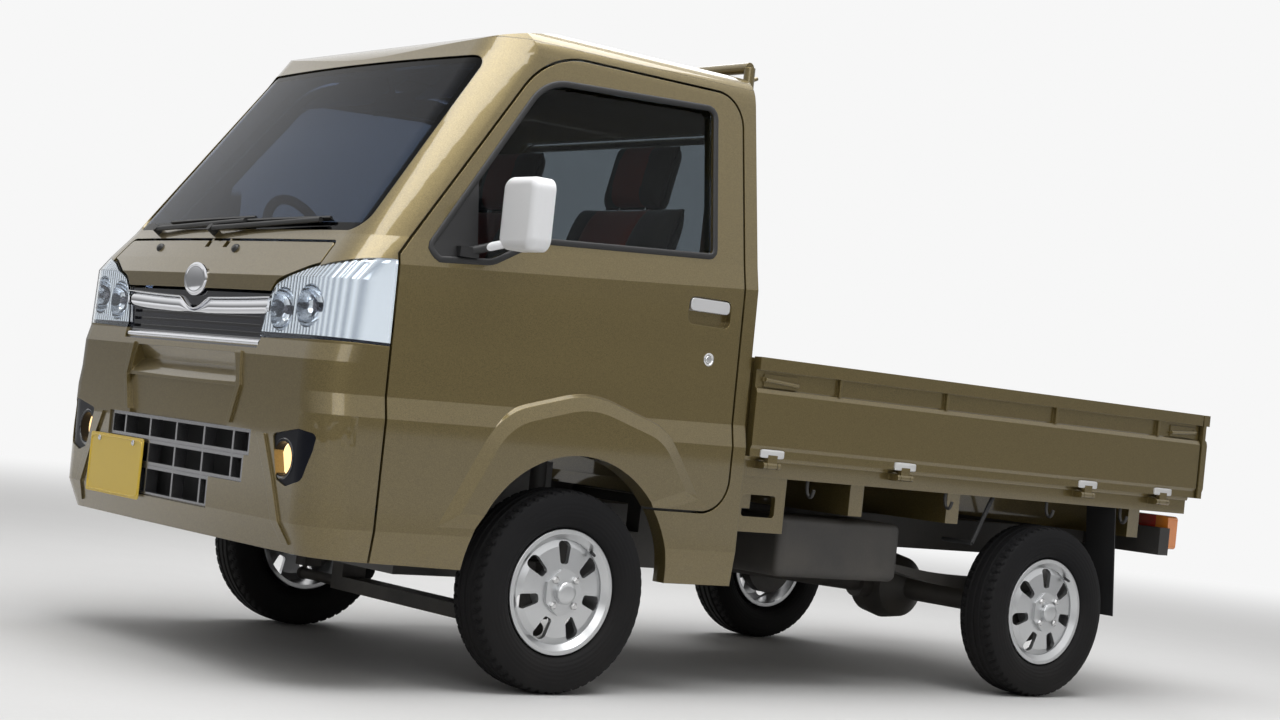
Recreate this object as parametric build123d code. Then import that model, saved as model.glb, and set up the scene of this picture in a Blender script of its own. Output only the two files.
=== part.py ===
from build123d import *
import math
import os

# A kei truck: a cab over the front wheels and a low bed with three drop sides.
# Frame: origin on the ground at the middle of the truck, +Z up, the nose at -Y, the truck's left side at +X.
# All lengths are in millimetres.

# Driving sizes of the whole truck
LENGTH = 3395.0
WIDTH = 1475.0
WHEELBASE = 1900.0
FRONT_OVERHANG = 800.0
TRACK_FRONT = 1305.0
TRACK_REAR = 1300.0
GUARD_TOP = 1780.0
ROOF_TOP = 1765.0

NOSE_Y = -LENGTH / 2
TAIL_Y = LENGTH / 2
HALF_WIDTH = WIDTH / 2
FRONT_AXLE_Y = NOSE_Y + FRONT_OVERHANG
REAR_AXLE_Y = FRONT_AXLE_Y + WHEELBASE

# Clearances, and the reach of shapes that only cut
FIT = 0.3
MOVING_GAP = 7.0
PANEL_GAP = 1.0
FAR = 3000.0
AHEAD_Y = NOSE_Y - 50.0
CUT_Y = NOSE_Y + 197.5
CABIN_Y = NOSE_Y + 997.5
SIDE_X = 300.0

# Wheels
TYRE_R = 268.0
TYRE_W = 145.0
TYRE_BULGE_R = 205.0
RIM_R = 152.0
RIM_LIP_R = 166.0
RIM_W = 112.0
BEAD_IN = 14.5
WHEEL_SLOTS = 7
HUB_R = 62.0
HUB_T = 10.0
HUB_CAP_R = 31.0
HUB_CAP_T = 16.0
SPINDLE_R = 16.0
SPINDLE_END = 5.0
BORE_END = 10.0
AXLE_Z = TYRE_R

# Cab shell
RIB_HEIGHT = 6.5
FACE_Y = NOSE_Y + 5.0
CAB_BOTTOM = 325.0
BELOW_Z = CAB_BOTTOM - 20.0
SILL_RISE = -32.0
CANT_X = 618.0
CANT_Y = NOSE_Y + 455.0
CANT_Z = 1650.0
LOWER_HALF = 726.0
UPPER_HALF = 714.0
CAB_BACK = -330.0
CAB_LENGTH = CAB_BACK - NOSE_Y
ROOF_JOINT = 1690.0
COVER_TOP = 852.0
DOOR_WALL = 48.0
ROOF_WALL = 28.0
COVER_WALL = 26.0
HOOD_WALL = 22.0
GLASS = 5.0

# Doors
DOOR_FRONT = -1500.0
DOOR_REAR = -378.0
DOOR_TOP = 1665.0
DOOR_LOW_REAR = 503.0
DOOR_HEEL_R = 95.0
DOOR_SHOULDER_R = 90.0
DOOR_PILLAR_R = 260.0
PILLAR_FOOT_Z = 1080.0
PILLAR_TOP_Y = -1054.0
ARCH_R = 331.0
ARCH_Z = 296.0
ARCH_SKIRT = 2.0
HINGE_BACK = 75.0
HINGE_LOW = (709.0, 450.0)
HINGE_HIGH = (697.0, 900.0)
HINGE_PIN_R = 5.0
HINGE_PIN_HALF = 38.0
HINGE_PIN_ROOM = 4.0
HINGE_ARM_HALF = 8.0
HINGE_NOTCH_HALF = 14.0
HINGE_NOTCH_OUT = 11.0
HINGE_NOTCH_BACK = 12.0
SAIL_Y = -1266.0

# Bed
BED_FRONT = -322.0
HEADBOARD_T = 26.0
BED_FLOOR_Z = 660.0
BED_FLOOR_T = 26.0
BED_RAIL_Z = 612.0
BED_RAIL_W = 40.0
BED_GATE_GAP = 8.0
BED_TAIL_GAP = 12.0
GATE_TOP = 945.0
GATE_T = 30.0
GATE_BOTTOM = 668.0
GATE_AXIS_Z = 646.0
GATE_PIN_R = 5.0
GATE_RAIL_H = 36.0
GATE_HINGES_Y = (-235.0, 293.0, 1117.0, 1493.0)
BED_HALF = HALF_WIDTH - GATE_T - BED_GATE_GAP
BED_START = BED_FRONT + HEADBOARD_T + FIT
BED_END = TAIL_Y - GATE_T - BED_TAIL_GAP

# Running gear
RAIL_X = 350.0
RAIL_W = 60.0
RAIL_H = 100.0
RAIL_Z = 420.0
RAIL_IN = RAIL_X - RAIL_W / 2
RAIL_OUT = RAIL_X + RAIL_W / 2
FRONT_RAIL_Z = 315.0
RAIL_STEP_Y = -350.0
KINGPIN_FOOT = (606.0, 190.0)
KINGPIN_TOP = (520.0, 620.0)
CASTER = 20.0
BALL_PIN_R = 8.0
AXLE_TUBE_R = 38.0
SPRING_X = 470.0
RAIL_END = 1480.0
PINION = 150.0


# Drawing helpers
def rounded(points):
    """A face from (a, b, corner radius) rows."""
    face = make_face(Polyline(*[(a, b) for a, b, r in points], close=True))
    for a, b, r in points:
        if r:
            corner = face.vertices().sort_by_distance((a, b))[0]
            face = fillet(corner, r)
    return face


def side_prism(face, x0, x1):
    """A face drawn in Y and Z, carried from x0 to x1."""
    return extrude(Plane.YZ.offset(x0) * face, x1 - x0)


def front_prism(face, y0, y1):
    """A face drawn in X and Z, carried from y0 to y1."""
    plane = Plane(origin=(0, y0, 0), x_dir=(1, 0, 0), z_dir=(0, -1, 0))
    return extrude(plane * face, -(y1 - y0))


def plan_prism(face, z0, z1):
    """A face drawn in X and Y, carried from z0 to z1."""
    return extrude(Plane.XY.offset(z0) * face, z1 - z0)


def block(x0, x1, y0, y1, z0, z1):
    return Pos((x0 + x1) / 2, (y0 + y1) / 2, (z0 + z1) / 2) * Box(x1 - x0, y1 - y0, z1 - z0)


def rod(a, b, r):
    """A round bar from point a to point b."""
    a, b = Vector(*a), Vector(*b)
    plane = Plane(origin=a, z_dir=(b - a).normalized())
    return extrude(plane * Circle(r), (b - a).length)


def mirrored(shape):
    """The same piece on the truck's other side."""
    return mirror(shape, about=Plane.YZ)


def both_sides(shape):
    """The left piece and its mirror image on the right."""
    return [shape, mirrored(shape)]


def solids_of(*shapes):
    return Compound(children=[s for shape in shapes for s in shape.solids()])


# Cab shell: rows of plan sections from the sill to above the roof
# name, height at the nose, rise to the back, half width, nose y, bow of the front, corner radius
CAB_SECTIONS = (
    ("sill", CAB_BOTTOM, SILL_RISE, LOWER_HALF - 12.0, FACE_Y + 34.0, 12.0, 100.0),
    ("bumper_low", 400.0, 0.0, LOWER_HALF, FACE_Y + 3.0, 12.0, 105.0),
    ("bumper_mid", 600.0, 12.0, LOWER_HALF, FACE_Y, 12.0, 105.0),
    ("shoulder_low", 672.0, 18.0, LOWER_HALF, FACE_Y + 0.5, 12.0, 105.0),
    ("shoulder_top", 724.0, 26.0, UPPER_HALF, FACE_Y + 1.0, 12.0, 105.0),
    ("ledge_low", 800.0, 38.0, UPPER_HALF - 1.0, FACE_Y + 2.0, 12.0, 106.0),
    ("ledge_top", 842.0, 43.0, UPPER_HALF - 1.5, FACE_Y + 12.0, 12.0, 108.0),
    ("lamp_top", 1000.0, 70.0, UPPER_HALF - 3.0, NOSE_Y + 19.0, 14.0, 112.0),
    ("belt", 1042.0, 86.0, UPPER_HALF - 4.0, NOSE_Y + 46.0, 22.0, 118.0),
    ("glass_foot", 1112.0, 82.0, UPPER_HALF - 18.0, NOSE_Y + 92.0, 38.0, 130.0),
    ("cant", CANT_Z, 0.0, CANT_X, CANT_Y, 40.0, 140.0),
    ("over_roof", 1800.0, 0.0, CANT_X - 23.0, CANT_Y + 101.0, 36.0, 135.0),
)
CANT_LEAN = 0.25
ROOF_CROWN = 43.0
ROOF_CORNER_R = 85.0
HEADER_R = 180.0
HEADER_DROP = 77.0
ROOF_MID_Y = -760.0
ROOF_MID_DROP = 10.0
ROOF_BACK_DROP = 7.0
BACK_SPARE = 40.0
# How much a corner radius shrinks, and how far the header moves back, for each millimetre of inset
PLAN_SHRINK = 0.6
ROOF_SHRINK = 0.5
HEADER_SHIFT = 1.2


def cab_section(z, rise, half, nose, bow, corner, inset):
    """One plan outline: a bowed front, two round corners, straight sides and back."""
    tilt = math.atan2(rise, CAB_LENGTH)
    plane = Plane(origin=(0, NOSE_Y, z), x_dir=(1, 0, 0), z_dir=(0, -math.sin(tilt), math.cos(tilt)))
    half = half - inset
    tip = nose - NOSE_Y + inset
    back = CAB_LENGTH + BACK_SPARE
    edges = [
        ThreePointArc((-half, tip + bow), (0, tip), (half, tip + bow)),
        Line((half, tip + bow), (half, back)),
        Line((half, back), (-half, back)),
        Line((-half, back), (-half, tip + bow)),
    ]
    face = make_face(edges)
    front = face.vertices().sort_by(Axis.Y)[:2]
    return plane * fillet(front, corner - PLAN_SHRINK * inset)


def roof_cross(inset):
    """The roof seen from the front: leaning sides, round corners and a crowned top."""
    corner_x = CANT_X - CANT_LEAN * (ROOF_TOP - ROOF_CROWN - CANT_Z) - inset
    corner_z = ROOF_TOP - ROOF_CROWN - inset
    foot_x = CANT_X + CANT_LEAN * CANT_Z - inset
    edges = [
        Line((-foot_x, 0), (foot_x, 0)),
        Line((foot_x, 0), (corner_x, corner_z)),
        ThreePointArc((corner_x, corner_z), (0, ROOF_TOP - inset), (-corner_x, corner_z)),
        Line((-corner_x, corner_z), (-foot_x, 0)),
    ]
    face = make_face(edges)
    corners = face.vertices().sort_by(Axis.Y)[-2:]
    return fillet(corners, ROOF_CORNER_R - ROOF_SHRINK * inset)


def roof_long(inset):
    """The roof seen from the side: a leaning header and a long crown, highest near the back."""
    header_z = ROOF_TOP - HEADER_DROP - inset
    header_y = CANT_Y + (ROOF_TOP - HEADER_DROP - CANT_Z) + HEADER_SHIFT * inset
    foot_y = header_y - header_z
    mid_z = ROOF_TOP - ROOF_MID_DROP - inset
    back_z = ROOF_TOP - ROOF_BACK_DROP - inset
    edges = [
        Line((foot_y, 0), (CAB_BACK, 0)),
        Line((CAB_BACK, 0), (CAB_BACK, back_z)),
        ThreePointArc((CAB_BACK, back_z), (ROOF_MID_Y, mid_z), (header_y, header_z)),
        Line((header_y, header_z), (foot_y, 0)),
    ]
    face = make_face(edges)
    header = face.vertices().sort_by_distance((header_y, header_z))[0]
    return fillet(header, HEADER_R - ROOF_SHRINK * inset)


SKINS = {}


def skin(inset):
    """The cab's outer volume, shrunk by inset. Its back is cut square at the cab's back."""
    if inset not in SKINS:
        sections = [cab_section(z, rise, half, nose, bow, corner, inset)
                    for name, z, rise, half, nose, bow, corner in CAB_SECTIONS]
        volume = loft(sections, ruled=True)
        volume = volume & front_prism(roof_cross(inset), NOSE_Y - FAR, CAB_BACK)
        volume = volume & side_prism(roof_long(inset), -HALF_WIDTH, HALF_WIDTH)
        SKINS[inset] = volume
    return SKINS[inset]


def panel(prism, outer, inner):
    """The piece of the cab's wall that lies in a prism, between two insets."""
    return (skin(outer) & prism) - skin(inner)


def from_front(face):
    """A face drawn in X and Z, carried through the cab's front wall."""
    return front_prism(face, AHEAD_Y, CUT_Y)


def from_left(face):
    """A face drawn in Y and Z, carried through the cab's left wall."""
    return side_prism(face, SIDE_X, FAR)


# Outlines on the cab, drawn once and used by every piece that meets there
def door_outline():
    return rounded((
        (DOOR_FRONT, BELOW_Z, 0), (FRONT_AXLE_Y, BELOW_Z, 0),
        (FRONT_AXLE_Y, DOOR_LOW_REAR, 0), (DOOR_REAR, DOOR_LOW_REAR, DOOR_HEEL_R),
        (DOOR_REAR, DOOR_TOP, DOOR_SHOULDER_R), (PILLAR_TOP_Y, DOOR_TOP, DOOR_PILLAR_R),
        (DOOR_FRONT, PILLAR_FOOT_Z, 0),
    ))


WINDOW_ROWS = (
    (-1412, 1108, 14), (-1385, 1082, 14), (-1225, 1094, 80), (-1080, 1168, 80),
    (-486, 1202, 20), (-480, 1612, 25), (-1062, 1588, 150),
)


def window_outline():
    return rounded(WINDOW_ROWS)


def arch_disc():
    return Pos(FRONT_AXLE_Y, ARCH_Z) * Circle(ARCH_R)


LAMP_ROWS = (
    (372, 843, 14), (394, 940, 0), (428, 980, 40), (545, 1022, 80),
    (640, 1045, 0), (900, 1122, 0), (900, 856, 0),
)


def lamp_outline():
    return rounded(LAMP_ROWS)


SCREEN_FOOT = (618.0, 1128.0)
SCREEN_HEAD = (560.0, 1634.0)
SCREEN_R = 45.0


def screen_outline():
    (foot_x, foot_z), (head_x, head_z) = SCREEN_FOOT, SCREEN_HEAD
    return rounded(((-foot_x, foot_z, SCREEN_R), (foot_x, foot_z, SCREEN_R),
                    (head_x, head_z, SCREEN_R), (-head_x, head_z, SCREEN_R)))


HOOD_HALF = 590.0
HOOD_TOP_HALF = 562.0
HOOD_LOW = 962.0
HOOD_TOP = 1094.0
HOOD_CORNER_R = 14.0
HOOD_AXIS = (-1612.5, 1091.5)
HOOD_LAMP_GAP = 10.0
HOOD_LUG_X = 50.0
HOOD_LUG_T = 10.0
HOOD_EYE_R = 4.6
HOOD_PIN_R = 3.0
HOOD_PIN_HALF = 22.0
HOOD_PIN_ROOM = 2.0
HOOD_SLOT_LOW = 16.0
HOOD_SLOT_HIGH = 22.5
# Side outline of a hood lug, from the hinge axis: back, up
HOOD_LUG_ROWS = ((-3, 3), (3, 20), (40, 20), (4, -3))
GRILLE_HALF = 377.0
GRILLE_TOP_HALF = 408.0
GRILLE_LOW = 816.0
GRILLE_BACKING_LOW = 840.0
GRILLE_INSET = 8.0
GRILLE_DEPTH = 30.0
GRILLE_SLOTS = (852.0, 872.0, 892.0, 912.0)
GRILLE_SLOT_HALF = 4.0
GRILLE_SLOT_MARGIN = 20.0
GRILLE_SLOT_DEPTH = 18.0
COVER_BACK = DOOR_FRONT - MOVING_GAP / 2


def hood_outline():
    return rounded(((-HOOD_HALF, HOOD_LOW, 0), (HOOD_HALF, HOOD_LOW, 0),
                    (HOOD_TOP_HALF, HOOD_TOP, HOOD_CORNER_R), (-HOOD_TOP_HALF, HOOD_TOP, HOOD_CORNER_R)))


def grille_outline():
    top = HOOD_LOW - MOVING_GAP
    return rounded(((-GRILLE_HALF, GRILLE_LOW, 0), (GRILLE_HALF, GRILLE_LOW, 0),
                    (GRILLE_TOP_HALF, top, 0), (-GRILLE_TOP_HALF, top, 0)))


# Lower grille: rows of openings, top height, bottom height, half width
GRILLE_ROWS = ((612.0, 546.0, 405.0), (546.0, 477.0, 380.0), (477.0, 396.0, 208.0))
GRILLE_PITCH = 155.0
GRILLE_BAR = 9.0
GRILLE_BAR_EDGE = 4.8
GRILLE_BAR_ROOM = 20.0
GRILLE_BARS_INSET = 6.0
GRILLE_BARS_DEPTH = 40.0
FOG_X, FOG_Z, FOG_R = 562.0, 553.0, 42.0
FOG_INSET = 28.0
FOG_FLOOR_Y = NOSE_Y + 66.0
FOG_BEZEL_INSET = 4.0
FOG_BEZEL = (
    (512, 610, 10), (628, 630, 0), (684, 622, 14), (678, 580, 20),
    (655, 505, 26), (592, 486, 20), (546, 500, 12),
)


def grille_mouth():
    """The stepped opening of the lower grille, as one face."""
    faces = [Pos(0, (top + low) / 2) * Rectangle(2 * half, top - low) for top, low, half in GRILLE_ROWS]
    return faces[0] + faces[1] + faces[2]


# The bumper's hand pocket: outline from the front, and its depth with a floor that slopes out to the lower lip
POCKET_TOP, POCKET_FLOOR, POCKET_LOW = 800.0, 764.0, 722.0
POCKET_ROWS = (
    (-276, POCKET_TOP, 10), (-306, POCKET_LOW, 14), (306, POCKET_LOW, 14), (276, POCKET_TOP, 10),
)
POCKET_BROW = 12.0
POCKET_DEPTH = 34.0
POCKET_WALL = 8.0
# Raised ribs of the bumper, left side: the uprights beside the pocket and the blades beside the lower grille
BUMPER_RIBS = (
    ((290, 806, 0), (314, 718, 0), (282, 622, 0), (300, 622, 0), (332, 718, 0), (316, 806, 0)),
    ((440, 606, 0), (478, 608, 6), (536, 498, 20), (606, 346, 0), (574, 346, 0), (505, 494, 20)),
)
RIB_ROOT = 22.0
# The sunk middle panel between the uprights, from the pocket's lip down into the lower grille
PANEL_ROWS = ((-313, 716, 0), (-281, 622, 0), (-281, 604, 0), (281, 604, 0), (281, 622, 0), (313, 716, 0))
PANEL_DEPTH = 10.0

PLATE_X, PLATE_Z = -334.0, 462.5
PLATE_SIZE = (330.0, 165.0)
PLATE_CORNER_R = 9.0
PLATE_Y = FACE_Y - 1.0
PLATE_T = 1.5
PLATE_BOLTS = 210.0
PLATE_BOLT_RISE = 67.5
PLATE_HOLE_R = 3.25
PLATE_HOLE_ROOM = 1.0
PLATE_BOSS_R = 9.0


def plate_outline():
    return Pos(PLATE_X, PLATE_Z) * RectangleRounded(*PLATE_SIZE, PLATE_CORNER_R)


def plate_bolt(side, start_y, r):
    """A bar on the left or right bolt's axis, from start_y back through the bumper."""
    x, z = PLATE_X + side * PLATE_BOLTS / 2, PLATE_Z + PLATE_BOLT_RISE
    return rod((x, start_y, z), (x, CUT_Y, z), r)


def bumper_pocket():
    """What the hand pocket takes out: a brow that leans in, then a floor that slopes back out."""
    slope = make_face(Polyline(
        (AHEAD_Y, POCKET_TOP), (FACE_Y + POCKET_BROW, POCKET_TOP), (FACE_Y + POCKET_DEPTH, POCKET_FLOOR),
        (FACE_Y, POCKET_LOW), (AHEAD_Y, POCKET_LOW), close=True))
    return from_front(rounded(POCKET_ROWS)) & side_prism(slope, -HALF_WIDTH, HALF_WIDTH)


def front_cover():
    """The bumper moulding: pocket, ribs, the mouth of the lower grille, and room for lamps and plate."""
    zone = block(-HALF_WIDTH, HALF_WIDTH, AHEAD_Y, COVER_BACK, BELOW_Z, COVER_TOP)
    cover = panel(zone, 0, COVER_WALL)
    backing = offset(rounded(POCKET_ROWS), POCKET_WALL)
    cover = cover + panel(from_front(backing), RIB_ROOT, POCKET_DEPTH + POCKET_WALL)
    cover = cover - from_front(grille_outline()) - bumper_pocket() - from_front(grille_mouth())
    lamp = front_prism(offset(lamp_outline(), FIT / 2), AHEAD_Y, COVER_BACK + PANEL_GAP)
    for piece in both_sides(lamp) + both_sides(from_front(rounded(FOG_BEZEL))):
        cover = cover - piece
    cover = cover - (from_front(rounded(PANEL_ROWS)) - skin(PANEL_DEPTH))
    for rows in BUMPER_RIBS:
        for rib in both_sides(panel(from_front(rounded(rows)), -RIB_HEIGHT, RIB_ROOT)):
            cover = cover + rib
    cover = cover - front_prism(offset(plate_outline(), FIT), AHEAD_Y, PLATE_Y + PLATE_T + FIT)
    for side in (-1, 1):
        cover = cover - plate_bolt(side, AHEAD_Y, PLATE_HOLE_R + PLATE_HOLE_ROOM)
    return cover


def grille_lower():
    """A grid of thin bars in the bumper's mouth."""
    bars = None
    for top, low, half in GRILLE_ROWS:
        columns = [k * GRILLE_PITCH for k in range(-3, 4) if abs(k * GRILLE_PITCH) < half - GRILLE_BAR_ROOM]
        edges = [half - GRILLE_BAR, -half + GRILLE_BAR]
        rails = (top - GRILLE_BAR_EDGE, low + GRILLE_BAR_EDGE)
        row = [Pos(x, (top + low) / 2) * Rectangle(GRILLE_BAR, top - low) for x in columns]
        row += [Pos(x, (top + low) / 2) * Rectangle(2 * GRILLE_BAR - 2 * FIT, top - low) for x in edges]
        row += [Pos(0, z) * Rectangle(2 * (half - FIT), GRILLE_BAR) for z in rails]
        for face in row:
            bars = face if bars is None else bars + face
    return panel(from_front(bars), GRILLE_BARS_INSET, GRILLE_BARS_DEPTH)


def number_plate():
    """A blank plate on two bosses, with its two bolt holes."""
    plate = front_prism(plate_outline(), PLATE_Y, PLATE_Y + PLATE_T)
    for side in (-1, 1):
        plate = plate + (plate_bolt(side, PLATE_Y, PLATE_BOSS_R) - skin(-FIT))
        plate = plate - plate_bolt(side, AHEAD_Y, PLATE_HOLE_R)
    return plate


def grille_upper():
    """The dark panel between the lamps, with four slots across it."""
    zone = from_front(offset(grille_outline(), -FIT))
    for piece in both_sides(from_front(offset(lamp_outline(), FIT / 2))):
        zone = zone - piece
    grille = panel(zone, GRILLE_INSET, GRILLE_DEPTH)
    half = GRILLE_HALF - GRILLE_SLOT_MARGIN
    for z in GRILLE_SLOTS:
        slot = block(-half, half, AHEAD_Y, CUT_Y, z - GRILLE_SLOT_HALF, z + GRILLE_SLOT_HALF)
        grille = grille - (slot - skin(GRILLE_SLOT_DEPTH))
    return grille


def hood():
    """The service lid under the windscreen, slotted for the two lugs that it swings on."""
    zone = from_front(hood_outline())
    for piece in both_sides(from_front(offset(lamp_outline(), HOOD_LAMP_GAP))):
        zone = zone - piece
    lid = panel(zone, 0, HOOD_WALL)
    axis_z = HOOD_AXIS[1]
    for x in (-HOOD_LUG_X, HOOD_LUG_X):
        half = HOOD_LUG_T / 2 + MOVING_GAP
        lid = lid - block(x - half, x + half, AHEAD_Y, CUT_Y, axis_z - HOOD_SLOT_LOW, axis_z + HOOD_SLOT_HIGH)
        lid = lid - hood_pin(x, HOOD_PIN_R + FIT, HOOD_PIN_HALF + HOOD_PIN_ROOM)
    return lid


def hood_pin(x, r, half):
    y, z = HOOD_AXIS
    return rod((x - half, y, z), (x + half, y, z), r)


def hood_lug(x):
    """A lug under the cowl with the pin that the hood swings on."""
    y, z = HOOD_AXIS
    arm = make_face(Polyline(*[(y + back, z + up) for back, up in HOOD_LUG_ROWS], close=True))
    half = HOOD_LUG_T / 2
    lug = side_prism(arm, x - half, x + half) + hood_pin(x, HOOD_EYE_R, half)
    return lug + hood_pin(x, HOOD_PIN_R, HOOD_PIN_HALF)


LENS_T = 5.0
LAMP_DEPTH = 75.0
LAMP_ROOM = 9.0
# Reflector bowls of the left headlamp: centre x, y, z and radius
LAMP_BOWLS = ((462.0, -1662.0, 918.0, 56.0), (584.0, -1652.0, 930.0, 56.0), (650.0, -1590.0, 996.0, 36.0))


def lamp_zone():
    return front_prism(offset(lamp_outline(), -FIT / 2), AHEAD_Y, COVER_BACK)


def lamp_lenses():
    """The clear headlamp covers, flush with the cab, and the sunk fog lamp glasses."""
    left = panel(lamp_zone(), 0, LENS_T)
    fog = panel(from_front(Pos(FOG_X, FOG_Z) * Circle(FOG_R)), FOG_INSET, FOG_INSET + LENS_T)
    return solids_of(*both_sides(left), *both_sides(fog))


def lamp_housings():
    """Headlamp bodies with their reflector bowls, and the fog lamp surrounds."""
    left = panel(lamp_zone(), LENS_T + FIT, LAMP_DEPTH)
    for x, y, z, r in LAMP_BOWLS:
        left = left - Pos(x, y, z) * Sphere(r)
    bezel = panel(from_front(offset(rounded(FOG_BEZEL), -FIT)), FOG_BEZEL_INSET, LAMP_DEPTH)
    bezel = bezel - front_prism(Pos(FOG_X, FOG_Z) * Circle(FOG_R + FIT), AHEAD_Y, FOG_FLOOR_Y)
    return solids_of(*both_sides(left), *both_sides(bezel))


# Cab structure
SCREEN_INSET = 5.0
REAR_WINDOW = (480.0, 1180.0, 1570.0, 60.0)
REAR_GLASS_IN = 20.0
BACK_WALL = 36.0
BACK_LOW = 560.0


def cab_frame():
    """Pillars, header, cowl, cant rails and rear sills: the welded frame around the openings."""
    zone = block(-HALF_WIDTH, HALF_WIDTH, AHEAD_Y, CAB_BACK, BELOW_Z, ROOF_JOINT)
    frame = panel(zone, 0, DOOR_WALL)
    for face in (offset(door_outline(), MOVING_GAP / 2), offset(arch_disc(), ARCH_SKIRT)):
        for opening in both_sides(from_left(face)):
            frame = frame - opening
    frame = frame - front_prism(screen_outline(), AHEAD_Y, CABIN_Y)
    back = COVER_BACK + PANEL_GAP
    frame = frame - block(-HALF_WIDTH, HALF_WIDTH, AHEAD_Y, back, BELOW_Z, COVER_TOP)
    frame = frame - front_prism(offset(hood_outline(), MOVING_GAP), AHEAD_Y, back)
    frame = frame - block(-GRILLE_TOP_HALF, GRILLE_TOP_HALF, AHEAD_Y, back, GRILLE_BACKING_LOW, HOOD_LOW)
    for lamp in both_sides(front_prism(offset(lamp_outline(), FIT / 2), AHEAD_Y, back)):
        frame = frame - lamp
    return frame + hood_lug(-HOOD_LUG_X) + hood_lug(HOOD_LUG_X)


def cab_roof():
    zone = block(-HALF_WIDTH, HALF_WIDTH, NOSE_Y, CAB_BACK, ROOF_JOINT + FIT, GUARD_TOP)
    return panel(zone, 0, ROOF_WALL)


def rear_window_outline():
    half, low, top, r = REAR_WINDOW
    return rounded(((-half, low, r), (half, low, r), (half, top, r), (-half, top, r)))


def cab_back():
    zone = block(-HALF_WIDTH, HALF_WIDTH, CAB_BACK - BACK_WALL, CAB_BACK, BACK_LOW, ROOF_JOINT)
    wall = skin(DOOR_WALL + FIT) & zone
    return wall - front_prism(rear_window_outline(), CABIN_Y, 0)


def rear_window():
    y = CAB_BACK - REAR_GLASS_IN
    return front_prism(offset(rear_window_outline(), -FIT), y, y + GLASS)


def windscreen():
    zone = front_prism(offset(screen_outline(), -FIT), AHEAD_Y, CABIN_Y)
    return panel(zone, SCREEN_INSET, SCREEN_INSET + GLASS)


DECK_Z = 640.0
SHEET = 18.0
FOOT_Z = 415.0
RISER_Y = -1240.0
TOE_Y = -1545.0
TOE_TOP = 960.0
TOE_NOTCH_Z = 800.0
DECK_HALF = 678.0
DECK_END_GAP = 6.0
FOOT_HALF = 600.0
POST_X = (596.0, 640.0)
POST_Y = (-1398.0, -1362.0)
POST_TOP = 1050.0
POST_FOOT_X = 500.0
HINGE_Y = DOOR_FRONT + HINGE_BACK
# Plan outline of a hinge arm's eye, from the hinge axis: out, back
HINGE_EYE_ROWS = ((7, 6), (4, -7), (-8, -5))
HINGE_ARM_CUT = 6.0


def hinge_point(z):
    """The door hinge axis at height z. It leans in a little towards the top."""
    (x0, z0), (x1, z1) = HINGE_LOW, HINGE_HIGH
    return (x0 + (x1 - x0) * (z - z0) / (z1 - z0), HINGE_Y, z)


def door_pin(z, r, half):
    return rod(hinge_point(z - half), hinge_point(z + half), r)


def hinge_post():
    """The left door's post on the foot well, with an arm and a pin at each hinge."""
    (px0, px1), (py0, py1) = POST_X, POST_Y
    post = block(px0, px1, py0, py1, FOOT_Z, POST_TOP)
    post = post + block(POST_FOOT_X, px1, py0, py1, FOOT_Z, FOOT_Z + SHEET)
    for z in (HINGE_LOW[1], HINGE_HIGH[1]):
        x, y, _ = hinge_point(z)
        eye = [(x + out, y + back) for out, back in HINGE_EYE_ROWS]
        arm = make_face(Polyline((px0, py1), (px1, py1), *eye, (px0, py0 + HINGE_ARM_CUT), close=True))
        post = post + plan_prism(arm, z - HINGE_ARM_HALF, z + HINGE_ARM_HALF)
        post = post + door_pin(z, HINGE_PIN_R, HINGE_PIN_HALF)
    return post


def cab_floor():
    """Foot well, riser, seat deck and toe board as one bent sheet, with the two hinge posts."""
    end = CAB_BACK - BACK_WALL - FIT
    deck_top, foot_top = DECK_Z + SHEET, FOOT_Z + SHEET
    profile = make_face(Polyline(
        (TOE_Y, TOE_TOP), (TOE_Y, FOOT_Z), (RISER_Y, FOOT_Z), (RISER_Y, DECK_Z), (end, DECK_Z),
        (end, deck_top), (RISER_Y - SHEET, deck_top), (RISER_Y - SHEET, foot_top),
        (TOE_Y + SHEET, foot_top), (TOE_Y + SHEET, TOE_TOP), close=True))
    floor = side_prism(profile, -FOOT_HALF, FOOT_HALF)
    lamp_room = block(-FAR, FAR, TOE_Y, TOE_Y + SHEET, TOE_NOTCH_Z, TOE_TOP) - skin(LAMP_DEPTH + LAMP_ROOM)
    floor = floor - lamp_room
    floor = floor + block(-DECK_HALF, DECK_HALF, RISER_Y - SHEET, end, DECK_Z, deck_top)
    ends = block(-HALF_WIDTH, HALF_WIDTH, DOOR_REAR + DECK_END_GAP, end, DECK_Z, deck_top)
    floor = floor + (skin(DOOR_WALL + FIT) & ends)
    for post in both_sides(hinge_post()):
        floor = floor + post
    return floor


# Doors
FLARE_BAND = 36.0
FLARE_ROOT = 10.0
FLARE_SINK = 6.0
FLARE_ROWS = (
    (-1320, 420, 0), (-1160, 718, 200), (-880, 792, 300), (-610, 716, 180),
    (-480, 538, 0), (-700, 470, 0), (-900, 420, 0),
)
HANDLE_AT = (-497.0, 1047.0)
HANDLE_POCKET = (150.0, 76.0, 20.0)
HANDLE_POCKET_INSET = 20.0
HANDLE_BAR = (138.0, 34.0, 12.0)
HANDLE_BAR_RISE = 17.0
HANDLE_BAR_T = 9.0
HANDLE_FOOT = (26.0, 20.0)
HANDLE_FOOT_INSET = 3.0
HANDLE_FOOT_ROOT = 22.0


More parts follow.
